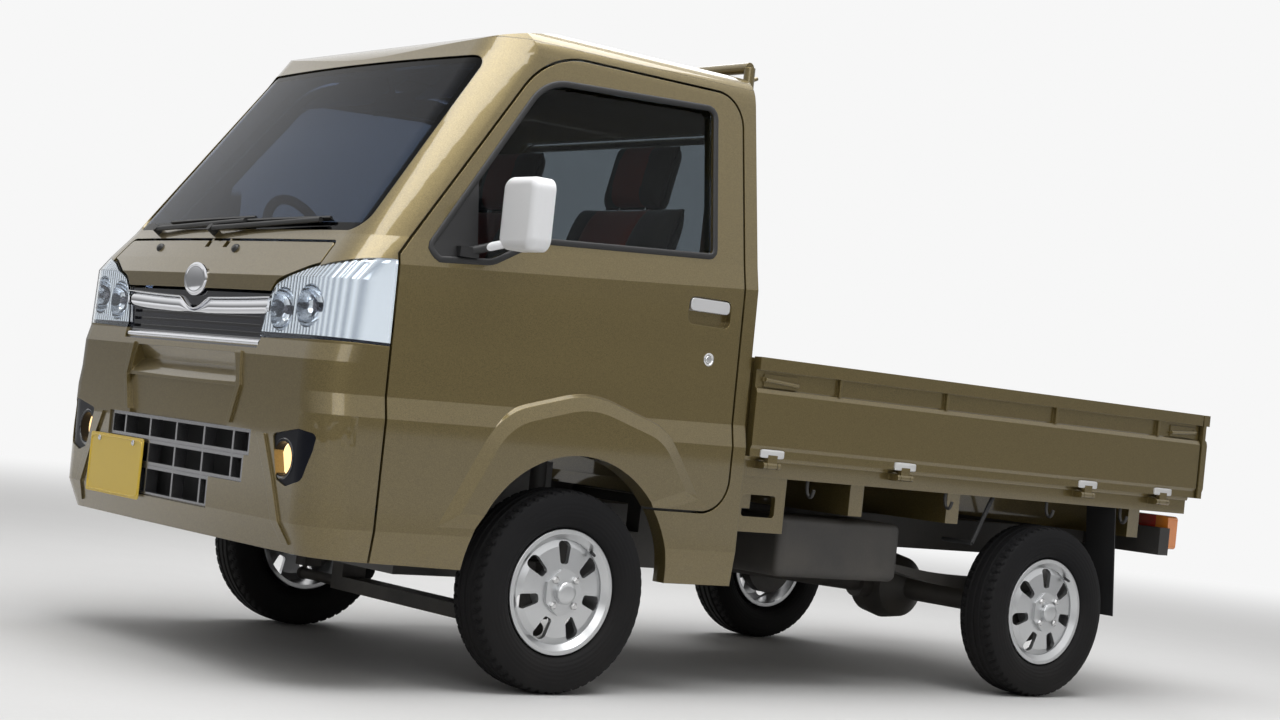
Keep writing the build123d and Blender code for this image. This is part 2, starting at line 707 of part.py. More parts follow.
def arch_flare():
    """The raised lip round the wheel arch: a pad with a broad sloping edge."""
    outline = rounded(FLARE_ROWS)
    root = Plane.YZ.offset(UPPER_HALF - FLARE_SINK) * offset(outline, FLARE_ROOT)
    foot = Plane.YZ.offset(LOWER_HALF) * outline
    face = Plane.YZ.offset(HALF_WIDTH) * offset(outline, -FLARE_BAND)
    return loft([root, foot, face], ruled=True)


def handle_pocket():
    y, z = HANDLE_AT
    return from_left(Pos(y, z) * RectangleRounded(*HANDLE_POCKET)) - skin(HANDLE_POCKET_INSET)


def handle_bar():
    """The pull bar across the upper half of the pocket, level with the door's skin, on its rear foot."""
    y, z = HANDLE_AT
    w, h, r = HANDLE_BAR
    bar = panel(from_left(Pos(y, z + HANDLE_BAR_RISE) * RectangleRounded(w, h, r)), 0, HANDLE_BAR_T)
    foot = from_left(Pos(y + w / 2, z + HANDLE_BAR_RISE) * Rectangle(*HANDLE_FOOT))
    return bar + panel(foot, HANDLE_FOOT_INSET, HANDLE_FOOT_ROOT)


def door_left():
    """The pressed shell with its window, wheel arch, raised arch lip, handle and hinge notches."""
    zone = from_left(offset(door_outline(), -MOVING_GAP / 2))
    door = panel(zone, 0, DOOR_WALL)
    door = door + ((arch_flare() & zone) - skin(DOOR_WALL))
    door = door - from_left(window_outline()) - from_left(arch_disc())
    door = door - handle_pocket() + handle_bar()
    back = POST_Y[1] + HINGE_NOTCH_BACK
    for z in (HINGE_LOW[1], HINGE_HIGH[1]):
        out = hinge_point(z)[0] + HINGE_NOTCH_OUT
        door = door - block(SIDE_X, out, AHEAD_Y, back, z - HINGE_NOTCH_HALF, z + HINGE_NOTCH_HALF)
        door = door - door_pin(z, HINGE_PIN_R + FIT, HINGE_PIN_HALF + HINGE_PIN_ROOM)
    return door


DOOR_GLASS_INSET = 18.0


def door_glass():
    zone = from_left(offset(window_outline(), -FIT)) & block(SIDE_X, FAR, SAIL_Y, 0, 0, FAR)
    return panel(zone, DOOR_GLASS_INSET, DOOR_GLASS_INSET + GLASS)


MIRROR_AT = (812.0, -1212.0, 1217.0)
MIRROR_SIZE = (150.0, 62.0, 184.0)
MIRROR_CORNER_R = 32.0
MIRROR_FRONT_R = 22.0
SAIL_INSET = 3.0
SAIL_DEPTH = 30.0
MIRROR_FOOT_X = (672.0, 716.0)
MIRROR_FOOT_Y = (-1330.0, SAIL_Y - 8.0)
MIRROR_FOOT_Z = (1096.0, 1122.0)
MIRROR_ARM_FROM = (700.0, -1296.0, 1112.0)
MIRROR_ARM_IN = 40.0
MIRROR_ARM_DROP = 70.0
MIRROR_ARM_R = 11.0


def door_mirror():
    """The black sail in the window's front corner, the arm and the mirror head."""
    zone = from_left(offset(window_outline(), -FIT)) & block(SIDE_X, FAR, AHEAD_Y, SAIL_Y - FIT, 0, FAR)
    sail = panel(zone, SAIL_INSET, SAIL_DEPTH)
    x, y, z = MIRROR_AT
    head = Pos(x, y, z) * Box(*MIRROR_SIZE)
    head = fillet(head.edges().filter_by(Axis.Y), MIRROR_CORNER_R)
    head = fillet(head.faces().sort_by(Axis.Y)[0].edges(), MIRROR_FRONT_R)
    foot = block(*MIRROR_FOOT_X, *MIRROR_FOOT_Y, *MIRROR_FOOT_Z)
    arm = rod(MIRROR_ARM_FROM, (x - MIRROR_ARM_IN, y, z - MIRROR_ARM_DROP), MIRROR_ARM_R)
    return sail + foot + arm + head


# Cab interior
SEAT_X = 330.0
SEAT_LOW = DECK_Z + SHEET + FIT
# Side outlines of a seat's three pads, each with its half width
SEAT_PADS = (
    (250.0, ((-1190, SEAT_LOW, 20), (-700, SEAT_LOW, 20), (-690, 790, 30), (-1200, 830, 45))),
    (230.0, ((-760, 795, 20), (-600, 780, 20), (-440, 1330, 45), (-560, 1340, 45))),
    (130.0, ((-545, 1335, 20), (-455, 1330, 20), (-415, 1510, 40), (-505, 1515, 40))),
)


def seat(x):
    """Cushion, back and head rest as plain pads."""
    pads = [side_prism(rounded(rows), x - half, x + half) for half, rows in SEAT_PADS]
    return pads[0] + pads[1] + pads[2]


DASH_HALF = POST_X[0] - FIT
DASH_FRONT = TOE_Y + SHEET + FIT
DASH_ROWS = (
    (DASH_FRONT, 820, 0), (-1440, 820, 30), (-1380, 930, 40), (-1360, 1040, 40),
    (-1420, 1085, 30), (DASH_FRONT, 1085, 0),
)
WHEEL_X = -330.0
COLUMN_FOOT = (WHEEL_X, -1500.0, 930.0)
COLUMN_TOP = (WHEEL_X, -1215.0, 1075.0)
COLUMN_R = 32.0
SHAFT_R = 10.0
SHAFT_LENGTH = 34.0
STEER_R = 185.0
STEER_RIM_R = 14.0
STEER_RISE = 42.0
STEER_BORE_END = 4.0
# Steering wheel hub discs: drop below the rim's plane, radius, thickness
STEER_HUB = ((16.0, 48.0, 44.0), (31.0, 28.0, 20.0))
STEER_SPOKES = (0, 180, 90)
STEER_SPOKE = (150.0, 44.0, 12.0)
STEER_SPOKE_AT = (112.0, 0.0, -8.0)


def column_axis():
    return (Vector(*COLUMN_TOP) - Vector(*COLUMN_FOOT)).normalized()


def dashboard():
    """The moulded dash with the steering column and its shaft."""
    dash = side_prism(rounded(DASH_ROWS), -DASH_HALF, DASH_HALF) & skin(LAMP_DEPTH + LAMP_ROOM)
    tip = Vector(*COLUMN_TOP) + column_axis() * SHAFT_LENGTH
    return dash + rod(COLUMN_FOOT, COLUMN_TOP, COLUMN_R) + rod(COLUMN_TOP, tuple(tip), SHAFT_R)


def steering_wheel():
    """Rim, three spokes and hub, on the end of the column."""
    centre = Vector(*COLUMN_TOP) + column_axis() * STEER_RISE
    place = Plane(origin=centre, x_dir=(1, 0, 0), z_dir=column_axis()).location
    wheel = place * Torus(STEER_R, STEER_RIM_R)
    for drop, r, thick in STEER_HUB:
        wheel = wheel + place * Pos(0, 0, -drop) * Cylinder(r, thick)
    for angle in STEER_SPOKES:
        wheel = wheel + place * Rot(0, 0, angle) * Pos(*STEER_SPOKE_AT) * Box(*STEER_SPOKE)
    return wheel - rod(COLUMN_TOP, tuple(centre - column_axis() * STEER_BORE_END), SHAFT_R + FIT)


# Wipers: pivot and tip of each arm
WIPERS = (
    ((-420.0, -1582.0, 1115.0), (90.0, -1600.0, 1150.0)),
    ((-60.0, -1600.0, 1114.0), (450.0, -1582.0, 1154.0)),
)
# Ends of a wiper's spindle and root of its arm, from the pivot: back, up
WIPER_SPINDLE = ((20.0, -14.0), (-26.0, 18.0))
WIPER_ROOT = (-20.0, 14.0)
WIPER_SPINDLE_R = 11.0
WIPER_ARM_R = 7.0


def wipers():
    """Two arms parked along the foot of the windscreen, each on its spindle."""
    pieces = []
    for (x, y, z), tip in WIPERS:
        ends = [(x, y + back, z + up) for back, up in WIPER_SPINDLE]
        arm = rod((x, y + WIPER_ROOT[0], z + WIPER_ROOT[1]), tip, WIPER_ARM_R)
        pieces.append(rod(*ends, WIPER_SPINDLE_R) + arm - skin(-FIT))
    return solids_of(*pieces)


# Bed
POCKET_PLATE_Y = (-308.0, -129.0)
POCKET_PLATE_Z = 456.0
POCKET_PLATE_X = (BED_HALF - 30.0, BED_HALF - 12.0)
POCKET_HOLE = ((-290, 499, 10), (-166, 499, 10), (-166, 561, 10), (-290, 561, 10))
BEARERS_Y = (-290.0, 150.0, 560.0, 1420.0)
BEARER_W = 55.0


def corner_pocket():
    """The plate with a hand hole that hangs under the bed's front corner."""
    plate = block(*POCKET_PLATE_X, *POCKET_PLATE_Y, POCKET_PLATE_Z, BED_RAIL_Z)
    return plate - from_left(rounded(POCKET_HOLE))


def bed_deck():
    """Floor sheet, side and tail rails, cross bearers, corner pockets and the drop sides' hinge lugs."""
    low = BED_FLOOR_Z - BED_FLOOR_T
    deck = block(-BED_HALF, BED_HALF, BED_START, BED_END, low, BED_FLOOR_Z)
    for rail in both_sides(block(BED_HALF - BED_RAIL_W, BED_HALF, BED_START, BED_END, BED_RAIL_Z, BED_FLOOR_Z)):
        deck = deck + rail
    deck = deck + block(-BED_HALF, BED_HALF, BED_END - BED_RAIL_W, BED_END, BED_RAIL_Z, BED_FLOOR_Z)
    inner = BED_HALF - BED_RAIL_W
    for y in BEARERS_Y:
        deck = deck + block(-inner, inner, y, y + BEARER_W, RAIL_Z + RAIL_H, low)
    for piece in both_sides(corner_pocket()):
        deck = deck + piece
    for lug in hinge_lugs(GATE_HINGES_Y):
        for piece in both_sides(on_left(lug)):
            deck = deck + piece
    for lug in hinge_lugs(TAIL_HINGES_X):
        deck = deck + on_tail(lug)
    return deck


HEADBOARD_TOP = GATE_TOP - 3.0
GUARD_Y = BED_FRONT + 18.0
GUARD_HALF = 545.0
GUARD_FOOT = GATE_TOP - 20.0
GUARD_R = 16.0
GUARD_BAR_R = 11.0
GUARD_BARS_Z = (1560.0, 1180.0)
HOOKS_Z = (1725.0, 1600.0, 1300.0)
HOOK_R = 6.0
HOOK_BACK, HOOK_UP = 30.0, 14.0


def bed_headboard():
    """The board at the front of the bed, with the guard frame and rope hooks above it."""
    frame = block(-BED_HALF, BED_HALF, BED_FRONT, BED_FRONT + HEADBOARD_T, BED_RAIL_Z, HEADBOARD_TOP)
    top = GUARD_TOP - GUARD_R
    for x in (-GUARD_HALF, GUARD_HALF):
        frame = frame + rod((x, GUARD_Y, GUARD_FOOT), (x, GUARD_Y, top), GUARD_R)
        for z in HOOKS_Z:
            frame = frame + rod((x, GUARD_Y, z), (x, GUARD_Y + HOOK_BACK, z + HOOK_UP), HOOK_R)
    frame = frame + rod((-GUARD_HALF, GUARD_Y, top), (GUARD_HALF, GUARD_Y, top), GUARD_R)
    for z in GUARD_BARS_Z:
        frame = frame + rod((-GUARD_HALF, GUARD_Y, z), (GUARD_HALF, GUARD_Y, z), GUARD_BAR_R)
    return frame


GATE_AXIS_IN = 9.0
KNUCKLE_R = 10.0
KNUCKLE_HALF = 18.0
KNUCKLE_BORE_HALF = 30.0
STRAP_IN, STRAP_OUT, STRAP_LAP = 8.0, 7.0, 8.0
LUG_GAP = 2.0
LUG_T = 12.0
TAIL_HINGES_X = (-550.0, -190.0, 190.0, 550.0)
GATE_RIBS_Y = (2.0, 444.0, 937.0, 1441.0)
TAIL_RIBS_X = (-370.0, 0.0, 370.0)
GATE_RIB_X = (-20.0, -5.0)
GATE_RIB_HALF = 5.0
GATE_RIB_Z = (858.0, GATE_TOP - GATE_RAIL_H + 4.0)
# Drop side section from its outer face: distance out, height
GATE_SECTION = (
    (0, GATE_TOP), (-GATE_T, GATE_TOP), (-GATE_T, GATE_BOTTOM), (-9, GATE_BOTTOM), (-9, 690), (-4, 700),
    (-4, 846), (-9, 858), (-16, 862), (-16, GATE_TOP - GATE_RAIL_H), (0, GATE_TOP - GATE_RAIL_H),
)


def drop_side(length, hinges, ribs):
    """A drop side along +Y, outer face at x = 0, with a knuckle at each hinge and upright ribs."""
    side = front_prism(make_face(Polyline(*GATE_SECTION, close=True)), 0, length)
    for y in ribs:
        side = side + block(*GATE_RIB_X, y - GATE_RIB_HALF, y + GATE_RIB_HALF, *GATE_RIB_Z)
    x, z = -GATE_AXIS_IN, GATE_AXIS_Z
    for y in hinges:
        near, far = y - KNUCKLE_HALF, y + KNUCKLE_HALF
        side = side + block(x - STRAP_IN, x + STRAP_OUT, near, far, z, GATE_BOTTOM + STRAP_LAP)
        side = side + rod((x, near, z), (x, far, z), KNUCKLE_R)
        side = side - rod((x, y - KNUCKLE_BORE_HALF, z), (x, y + KNUCKLE_BORE_HALF, z), GATE_PIN_R + FIT)
    return side


def hinge_lugs(hinges):
    """The deck's half of each drop side hinge: two lugs and the pin through them."""
    x, z = -GATE_AXIS_IN, GATE_AXIS_Z
    inner = KNUCKLE_HALF + LUG_GAP
    pieces = []
    for y in hinges:
        for side in (-1, 1):
            near, far = y + side * inner, y + side * (inner + LUG_T)
            lug = block(-GATE_T - BED_TAIL_GAP, x, min(near, far), max(near, far), z - KNUCKLE_R, z + KNUCKLE_R)
            pieces.append(lug + rod((x, near, z), (x, far, z), KNUCKLE_R))
        pieces.append(rod((x, y - inner - LUG_T, z), (x, y + inner + LUG_T, z), GATE_PIN_R))
    return pieces


GATE_END_GAP = 6.0
GATE_START = BED_FRONT + GATE_END_GAP
GATE_LENGTH = TAIL_Y - GATE_T - GATE_END_GAP - GATE_START
# Latch handles on the side gates: pivot y and reach of the grip
LATCHES_Y = ((-288.0, 125.0), (1634.0, -125.0))
LATCH_Z = 880.0
LATCH_LOW, LATCH_HIGH = 16.0, 20.0
LATCH_PLATE_X = (HALF_WIDTH - 18.0, HALF_WIDTH - 12.0)
LATCH_GRIP_X = HALF_WIDTH - 8.0
LATCH_GRIP_DROP = 4.0
LATCH_GRIP_R = 6.0
LATCH_BOSS_R = 9.0


def on_left(shape):
    return Pos(HALF_WIDTH, 0, 0) * shape


def on_tail(shape):
    return Pos(0, TAIL_Y, 0) * Rot(0, 0, 90) * shape


def latch(y, reach):
    """A latch on the left drop side: a plate, and a grip that stands off it at both ends."""
    near, far = min(y, y + reach), max(y, y + reach)
    root, out = LATCH_PLATE_X[0], LATCH_GRIP_X
    high, low = LATCH_Z + LATCH_GRIP_DROP, LATCH_Z - LATCH_GRIP_DROP
    body = block(*LATCH_PLATE_X, near, far, LATCH_Z - LATCH_LOW, LATCH_Z + LATCH_HIGH)
    body = body + rod((out, y, high), (out, y + reach, low), LATCH_GRIP_R)
    body = body + rod((out, y, high), (root, y, high), LATCH_BOSS_R)
    return body + rod((out, y + reach, low), (root, y + reach, low), LATCH_GRIP_R)


def gate_left():
    hinges = [y - GATE_START for y in GATE_HINGES_Y]
    ribs = [y - GATE_START for y in GATE_RIBS_Y]
    gate = on_left(Pos(0, GATE_START, 0) * drop_side(GATE_LENGTH, hinges, ribs))
    for y, reach in LATCHES_Y:
        gate = gate + latch(y, reach)
    return gate


def gate_tail():
    hinges = [x + HALF_WIDTH for x in TAIL_HINGES_X]
    ribs = [x + HALF_WIDTH for x in TAIL_RIBS_X]
    return on_tail(Pos(0, -HALF_WIDTH, 0) * drop_side(WIDTH, hinges, ribs))


BEAM_Y = (1540.0, 1590.0)
BEAM_Z = (470.0, 560.0)
BEAM_HALF = 700.0
BEAM_STAY_END = 1560.0
BEAM_STAY_LOW = RAIL_Z + 30.0
TAIL_LAMP_X = (520.0, 690.0)
TAIL_LAMP_T = 50.0
TAIL_LAMP_Z = (490.0, 600.0)
TAIL_LAMP_R = 12.0


def tail_lamps():
    lamp = block(*TAIL_LAMP_X, BEAM_Y[1], BEAM_Y[1] + TAIL_LAMP_T, *TAIL_LAMP_Z)
    return solids_of(*both_sides(fillet(lamp.edges().filter_by(Axis.Y), TAIL_LAMP_R)))


def rear_bumper():
    """The under-run beam on two stays at the ends of the rails."""
    beam = block(-BEAM_HALF, BEAM_HALF, BEAM_Y[0], BEAM_Y[1] - FIT, *BEAM_Z)
    for stay in both_sides(block(RAIL_IN, RAIL_OUT, RAIL_END, BEAM_STAY_END, BEAM_STAY_LOW, RAIL_Z + RAIL_H)):
        beam = beam + stay
    return beam


# Mud flap, behind the rear axle: distance back at its top and foot, thickness, foot height, and its width
FLAP_TOP_BACK, FLAP_FOOT_BACK = 300.0, 338.0
FLAP_T = 4.0
FLAP_LOW = 262.0
FLAP_X = (580.0, 698.0)
# The bent stay ahead of the rear wheel: x at its ends, then y and z of its top and foot
STAY_X = (560.0, 680.0)
STAY_TOP = (742.0, 620.0)
STAY_FOOT = (664.0, 467.0)
STAY_R = 7.0


def mud_guards():
    """A rubber flap behind each rear wheel and the bent stay ahead of it."""
    top_y, foot_y, top_z = REAR_AXLE_Y + FLAP_TOP_BACK, REAR_AXLE_Y + FLAP_FOOT_BACK, BED_RAIL_Z - FIT
    sheet = make_face(Polyline((top_y, top_z), (top_y + FLAP_T, top_z), (foot_y + FLAP_T, FLAP_LOW),
                               (foot_y, FLAP_LOW), close=True))
    inner, outer = STAY_X
    stay = rod((outer, *STAY_TOP), (outer, *STAY_FOOT), STAY_R)
    stay = stay + rod((outer, *STAY_FOOT), (inner, *STAY_FOOT), STAY_R)
    stay = stay - block(0, FAR, 0, FAR, top_z, FAR)
    return solids_of(*both_sides(side_prism(sheet, *FLAP_X)), *both_sides(stay))


# Running gear
SPRING_EYES_Y = (REAR_AXLE_Y - 560.0, REAR_AXLE_Y + 440.0)
SPRING_EYE_Z = 92.0
SPRING_HALF = 30.0
SPRING_SEAT_Z = AXLE_Z + AXLE_TUBE_R + FIT
# Leaf pack seen from the side, from the axle: reach forward and back, lower and upper height at each end
SPRING_FRONT = (-560.0, 70.0, 82.0)
SPRING_BACK = (500.0, 80.0, 92.0)
SPRING_PACK_T = 40.0
HANGER_HALF = 22.0
HANGER_X = SPRING_X + 34.0
HANGER_TOP = RAIL_Z + 60.0
RAIL_NOSE = -1600.0
RAIL_LAP = 50.0
CROSS_Y = (-120.0, 420.0, 1400.0)
CROSS_W = 60.0
CROSS_IN = 15.0
NOSE_BEAM_HALF = 480.0
NOSE_BEAM_BACK = -1585.0
NOSE_BEAM_Z = (FRONT_RAIL_Z + 15.0, FRONT_RAIL_Z + 70.0)


def frame_ladder():
    """Two rails that step up behind the cab, cross members, the front beam and the spring hangers."""
    near, far = RAIL_STEP_Y - RAIL_LAP, RAIL_STEP_Y + RAIL_LAP
    rail = block(RAIL_IN, RAIL_OUT, RAIL_NOSE, far, FRONT_RAIL_Z, FRONT_RAIL_Z + RAIL_H)
    rail = rail + block(RAIL_IN, RAIL_OUT, near, far, FRONT_RAIL_Z, RAIL_Z + RAIL_H)
    rail = rail + block(RAIL_IN, RAIL_OUT, near, RAIL_END, RAIL_Z, RAIL_Z + RAIL_H)
    eye_z = AXLE_Z + AXLE_TUBE_R + SPRING_EYE_Z + FIT
    for y in SPRING_EYES_Y:
        rail = rail + block(RAIL_IN, HANGER_X, y - HANGER_HALF, y + HANGER_HALF, eye_z, HANGER_TOP)
    frame = rail + mirrored(rail)
    for y in CROSS_Y:
        frame = frame + block(-RAIL_X, RAIL_X, y, y + CROSS_W, RAIL_Z + CROSS_IN, RAIL_Z + RAIL_H - CROSS_IN)
    nose = block(-NOSE_BEAM_HALF, NOSE_BEAM_HALF, NOSE_Y, NOSE_BEAM_BACK, *NOSE_BEAM_Z)
    return frame + (nose & skin(COVER_WALL + FIT))


# Wheel in its own frame, axis +X, outer side +X: rows of distance out, radius and corner radius
RIM_HALF = RIM_W / 2
RIM_ROWS = (
    (-RIM_HALF, RIM_LIP_R, 3), (-RIM_HALF, RIM_R - 8, 0), (RIM_HALF - 14, RIM_R - 14, 0),
    (RIM_HALF, RIM_LIP_R - 12, 3), (RIM_HALF, RIM_LIP_R, 3), (RIM_HALF - 6, RIM_LIP_R, 0),
    (RIM_HALF - 14, RIM_R, 0), (-RIM_HALF + 8, RIM_R, 0),
)
DISC_ROWS = (
    (RIM_HALF - 18, RIM_R - 12), (RIM_HALF - 8, 120), (RIM_HALF - 2, HUB_R), (RIM_HALF - 2, 0), (-10, 0),
    (-10, 56), (RIM_HALF - 14, HUB_R), (RIM_HALF - 22, 118), (RIM_HALF - 30, RIM_R - 12),
)
HUB_FACE = RIM_HALF - 2.0
# One slot of the disc: radius, half width, corner radius
SLOT_FOOT = (74.0, 12.0, 9.0)
SLOT_HEAD = (134.0, 22.0, 14.0)


def wheel_disc():
    """Rim barrel and dished disc with slots, a seven-sided hub plate and its cap."""
    body = revolve(rounded(RIM_ROWS), Axis.X) + revolve(make_face(Polyline(*DISC_ROWS, close=True)), Axis.X)
    (foot, foot_half, foot_r), (head, head_half, head_r) = SLOT_FOOT, SLOT_HEAD
    slot = rounded(((foot, -foot_half, foot_r), (head, -head_half, head_r),
                    (head, head_half, head_r), (foot, foot_half, foot_r)))
    for k in range(WHEEL_SLOTS):
        body = body - extrude(Plane.YZ * Rot(0, 0, 90 + 360 * k / WHEEL_SLOTS) * slot, RIM_W)
    body = body + extrude(Plane.YZ.offset(HUB_FACE) * RegularPolygon(HUB_R, WHEEL_SLOTS), HUB_T)
    body = body + rod((RIM_HALF, 0, 0), (RIM_HALF + HUB_CAP_T, 0, 0), HUB_CAP_R)
    return body - rod((-RIM_W, 0, 0), (BORE_END, 0, 0), SPINDLE_R + FIT)


def tyre():
    """A plain tyre: bead, bulged wall, shoulder and a slightly crowned tread, turned as one section."""
    half = TYRE_W / 2
    bead = RIM_HALF - BEAD_IN
    wall = ((bead, RIM_R + FIT, 0), (bead, RIM_LIP_R + 1, 0), (half - 12, RIM_LIP_R + 6, 6),
            (half, TYRE_BULGE_R, 30), (half - 6, TYRE_R - 6, 18))
    far_wall = [(-x, r, corner) for x, r, corner in wall]
    return revolve(rounded((*far_wall, (0, TYRE_R, 0), *reversed(wall))), Axis.X)


KNUCKLE_X = 590.0
UPRIGHT_X = (562.0, 618.0)
UPRIGHT_HALF = 28.0
UPRIGHT_TOP = 335.0
UPRIGHT_FOOT = 4.0
CLAMP_X = (528.0, 575.0)
CLAMP_HALF = 24.0
CLAMP_Z = (285.0, 340.0)
STRUT_FOOT = (546.0, 4.0, 290.0)
STRUT_R = 22.0
STEER_ARM_Z = 222.0
STEER_ARM_END = (545.0, 120.0, 226.0)
STEER_ARM_R = 12.0
BALL_BORE = (-20.0, 34.0)
BALL_PIN = (-30.0, 30.0)
BALL_R = 20.0
ARM_R = 16.0
ARM_Z = 160.0
ARM_LAP = 20.0
BEAM_HALF_Y = 40.0
CROSS_BEAM_Z = (142.0, 182.0)


def kingpin(along):
    """A point on the left steering axis, a distance up from the lower ball joint."""
    foot = Vector(KINGPIN_FOOT[0], FRONT_AXLE_Y, KINGPIN_FOOT[1])
    top = Vector(KINGPIN_TOP[0], FRONT_AXLE_Y + CASTER, KINGPIN_TOP[1])
    return tuple(foot + (top - foot).normalized() * along)


def knuckle():
    """Upright, spindle, strut and steering arm of the left front wheel."""
    y = FRONT_AXLE_Y
    upright = block(*UPRIGHT_X, y - UPRIGHT_HALF, y + UPRIGHT_HALF, KINGPIN_FOOT[1] - UPRIGHT_FOOT, UPRIGHT_TOP)
    clamp = block(*CLAMP_X, y - CLAMP_HALF, y + CLAMP_HALF, *CLAMP_Z)
    foot_x, foot_y, foot_z = STRUT_FOOT
    strut = rod((foot_x, y + foot_y, foot_z), (KINGPIN_TOP[0], y + CASTER, KINGPIN_TOP[1]), STRUT_R)
    spindle = rod((KNUCKLE_X, y, AXLE_Z), (TRACK_FRONT / 2 + SPINDLE_END, y, AXLE_Z), SPINDLE_R)
    end_x, end_y, end_z = STEER_ARM_END
    arm = rod((KNUCKLE_X, y, STEER_ARM_Z), (end_x, y + end_y, end_z), STEER_ARM_R)
    bore_low, bore_top = BALL_BORE
    return upright + clamp + strut + spindle + arm - rod(kingpin(bore_low), kingpin(bore_top), BALL_PIN_R + FIT)


def front_suspension():
    """Cross beam under the engine and the two lower arms with their ball pins."""
    y = FRONT_AXLE_Y
    low, top = CROSS_BEAM_Z
    ball, pin_top = kingpin(BALL_PIN[0]), kingpin(BALL_PIN[1])
    left = block(0, RAIL_OUT, y - BEAM_HALF_Y, y + BEAM_HALF_Y, low, top)
    left = left + block(RAIL_IN, RAIL_OUT, y - BEAM_HALF_Y, y + BEAM_HALF_Y, low, FRONT_RAIL_Z - FIT)
    left = left + rod((RAIL_OUT - ARM_LAP, y, ARM_Z), ball, ARM_R)
    left = left + Pos(*ball) * Sphere(BALL_R) + rod(ball, pin_top, BALL_PIN_R)
    return left + mirrored(left)


DRUM_R = 105.0
DRUM_IN, DRUM_OUT = 62.0, 20.0
# Round gear case of the rear axle: distance from the middle, radius
CASE_ROWS = ((120.0, AXLE_TUBE_R), (70.0, 100.0), (0.0, 112.0))
PINION_R = 45.0


def rear_axle():
    """A live axle: tube, round gear case, brake drums and wheel spindles, turned as one profile."""
    half = TRACK_REAR / 2
    spindle, drum, inner = half + SPINDLE_END, half - DRUM_OUT, half - DRUM_IN
    right = [(spindle, 0), (spindle, SPINDLE_R), (drum, SPINDLE_R), (drum, DRUM_R), (inner, DRUM_R),
             (inner, AXLE_TUBE_R), *CASE_ROWS]
    left = [(-x, r) for x, r in reversed(right[:-1])]
    axle = revolve(make_face(Polyline(*right, *left, close=True)), Axis.X)
    return Pos(0, REAR_AXLE_Y, AXLE_Z) * (axle + rod((0, -PINION, 0), (0, 0, 0), PINION_R))


def leaf_springs():
    """A flat arched leaf pack each side, from eye to eye over the axle."""
    y, z = REAR_AXLE_Y, SPRING_SEAT_Z
    (front, front_low, front_top), (back, back_low, back_top) = SPRING_FRONT, SPRING_BACK
    edges = [
        ThreePointArc((y + front, z + front_low), (y, z), (y + back, z + back_low)),
        Line((y + back, z + back_low), (y + back, z + back_top)),
        ThreePointArc((y + back, z + back_top), (y, z + SPRING_PACK_T), (y + front, z + front_top)),
        Line((y + front, z + front_top), (y + front, z + front_low)),
    ]
    return solids_of(*both_sides(side_prism(make_face(edges), SPRING_X - SPRING_HALF, SPRING_X + SPRING_HALF)))


ENGINE_HALF = 235.0
ENGINE_Y = (-1120.0, -620.0)
ENGINE_Z = (250.0, 590.0)
GEARBOX_HALF = 130.0
GEARBOX_END = -190.0
GEARBOX_Z = (260.0, 480.0)
MOUNT_Y = (-780.0, -720.0)
MOUNT_Z = (340.0, 395.0)
PROP_R = 32.0
PROP_GAP = 3.0
PROP_FRONT_Z = 350.0
PROP_BACK_RISE = 6.0
TANK_OUT = 640.0
TANK_Y = (-90.0, 400.0)
TANK_Z = (330.0, 505.0)
TANK_R = 24.0
# Exhaust pipe from the engine's side to the tail pipe's end
PIPE_ROUTE = ((-235.0, -700.0, 280.0), (-450.0, -420.0, 275.0), (-520.0, -120.0, 390.0), (-520.0, 420.0, 390.0))
PIPE_R = 20.0
MUFFLER_Y = (-100.0, 330.0)
MUFFLER_R = 70.0
PIPE_HANGER_Y = (100.0, 150.0)
PIPE_HANGER_Z = (440.0, 455.0)


def engine_block():
    """Engine and gearbox as plain blocks, with a mount to each rail."""
    mount = RAIL_IN - FIT
    engine = block(-ENGINE_HALF, ENGINE_HALF, *ENGINE_Y, *ENGINE_Z)
    engine = engine + block(-GEARBOX_HALF, GEARBOX_HALF, ENGINE_Y[1], GEARBOX_END, *GEARBOX_Z)
    return engine + block(-mount, mount, *MOUNT_Y, *MOUNT_Z)


def prop_shaft():
    front = (0, GEARBOX_END + PROP_GAP, PROP_FRONT_Z)
    return rod(front, (0, REAR_AXLE_Y - PINION - PROP_GAP, AXLE_Z + PROP_BACK_RISE), PROP_R)


def fuel_tank():
    tank = block(RAIL_OUT + FIT, TANK_OUT, *TANK_Y, *TANK_Z)
    return fillet(tank.edges(), TANK_R)


def exhaust():
    """Down pipe under the rail, then the muffler on its hanger."""
    pipe = Pos(*PIPE_ROUTE[1]) * Sphere(PIPE_R)
    for start, end in zip(PIPE_ROUTE, PIPE_ROUTE[1:]):
        pipe = pipe + rod(start, end, PIPE_R)
    x, _, z = PIPE_ROUTE[-1]
    near, far = MUFFLER_Y
    pipe = pipe + rod((x, near, z), (x, far, z), MUFFLER_R)
    pipe = pipe - block(-ENGINE_HALF - FIT, 0, *ENGINE_Y, *ENGINE_Z)
    return pipe + block(x, -RAIL_OUT - FIT, *PIPE_HANGER_Y, *PIPE_HANGER_Z)


def place_wheel(shape, side, track, y):
    """Moves a left-hand wheel piece to its hub, or its mirror image to the right."""
    placed = Pos(track / 2, 0, 0) * shape
    if side < 0:
        placed = mirrored(placed)
    return Pos(0, y, AXLE_Z) * placed


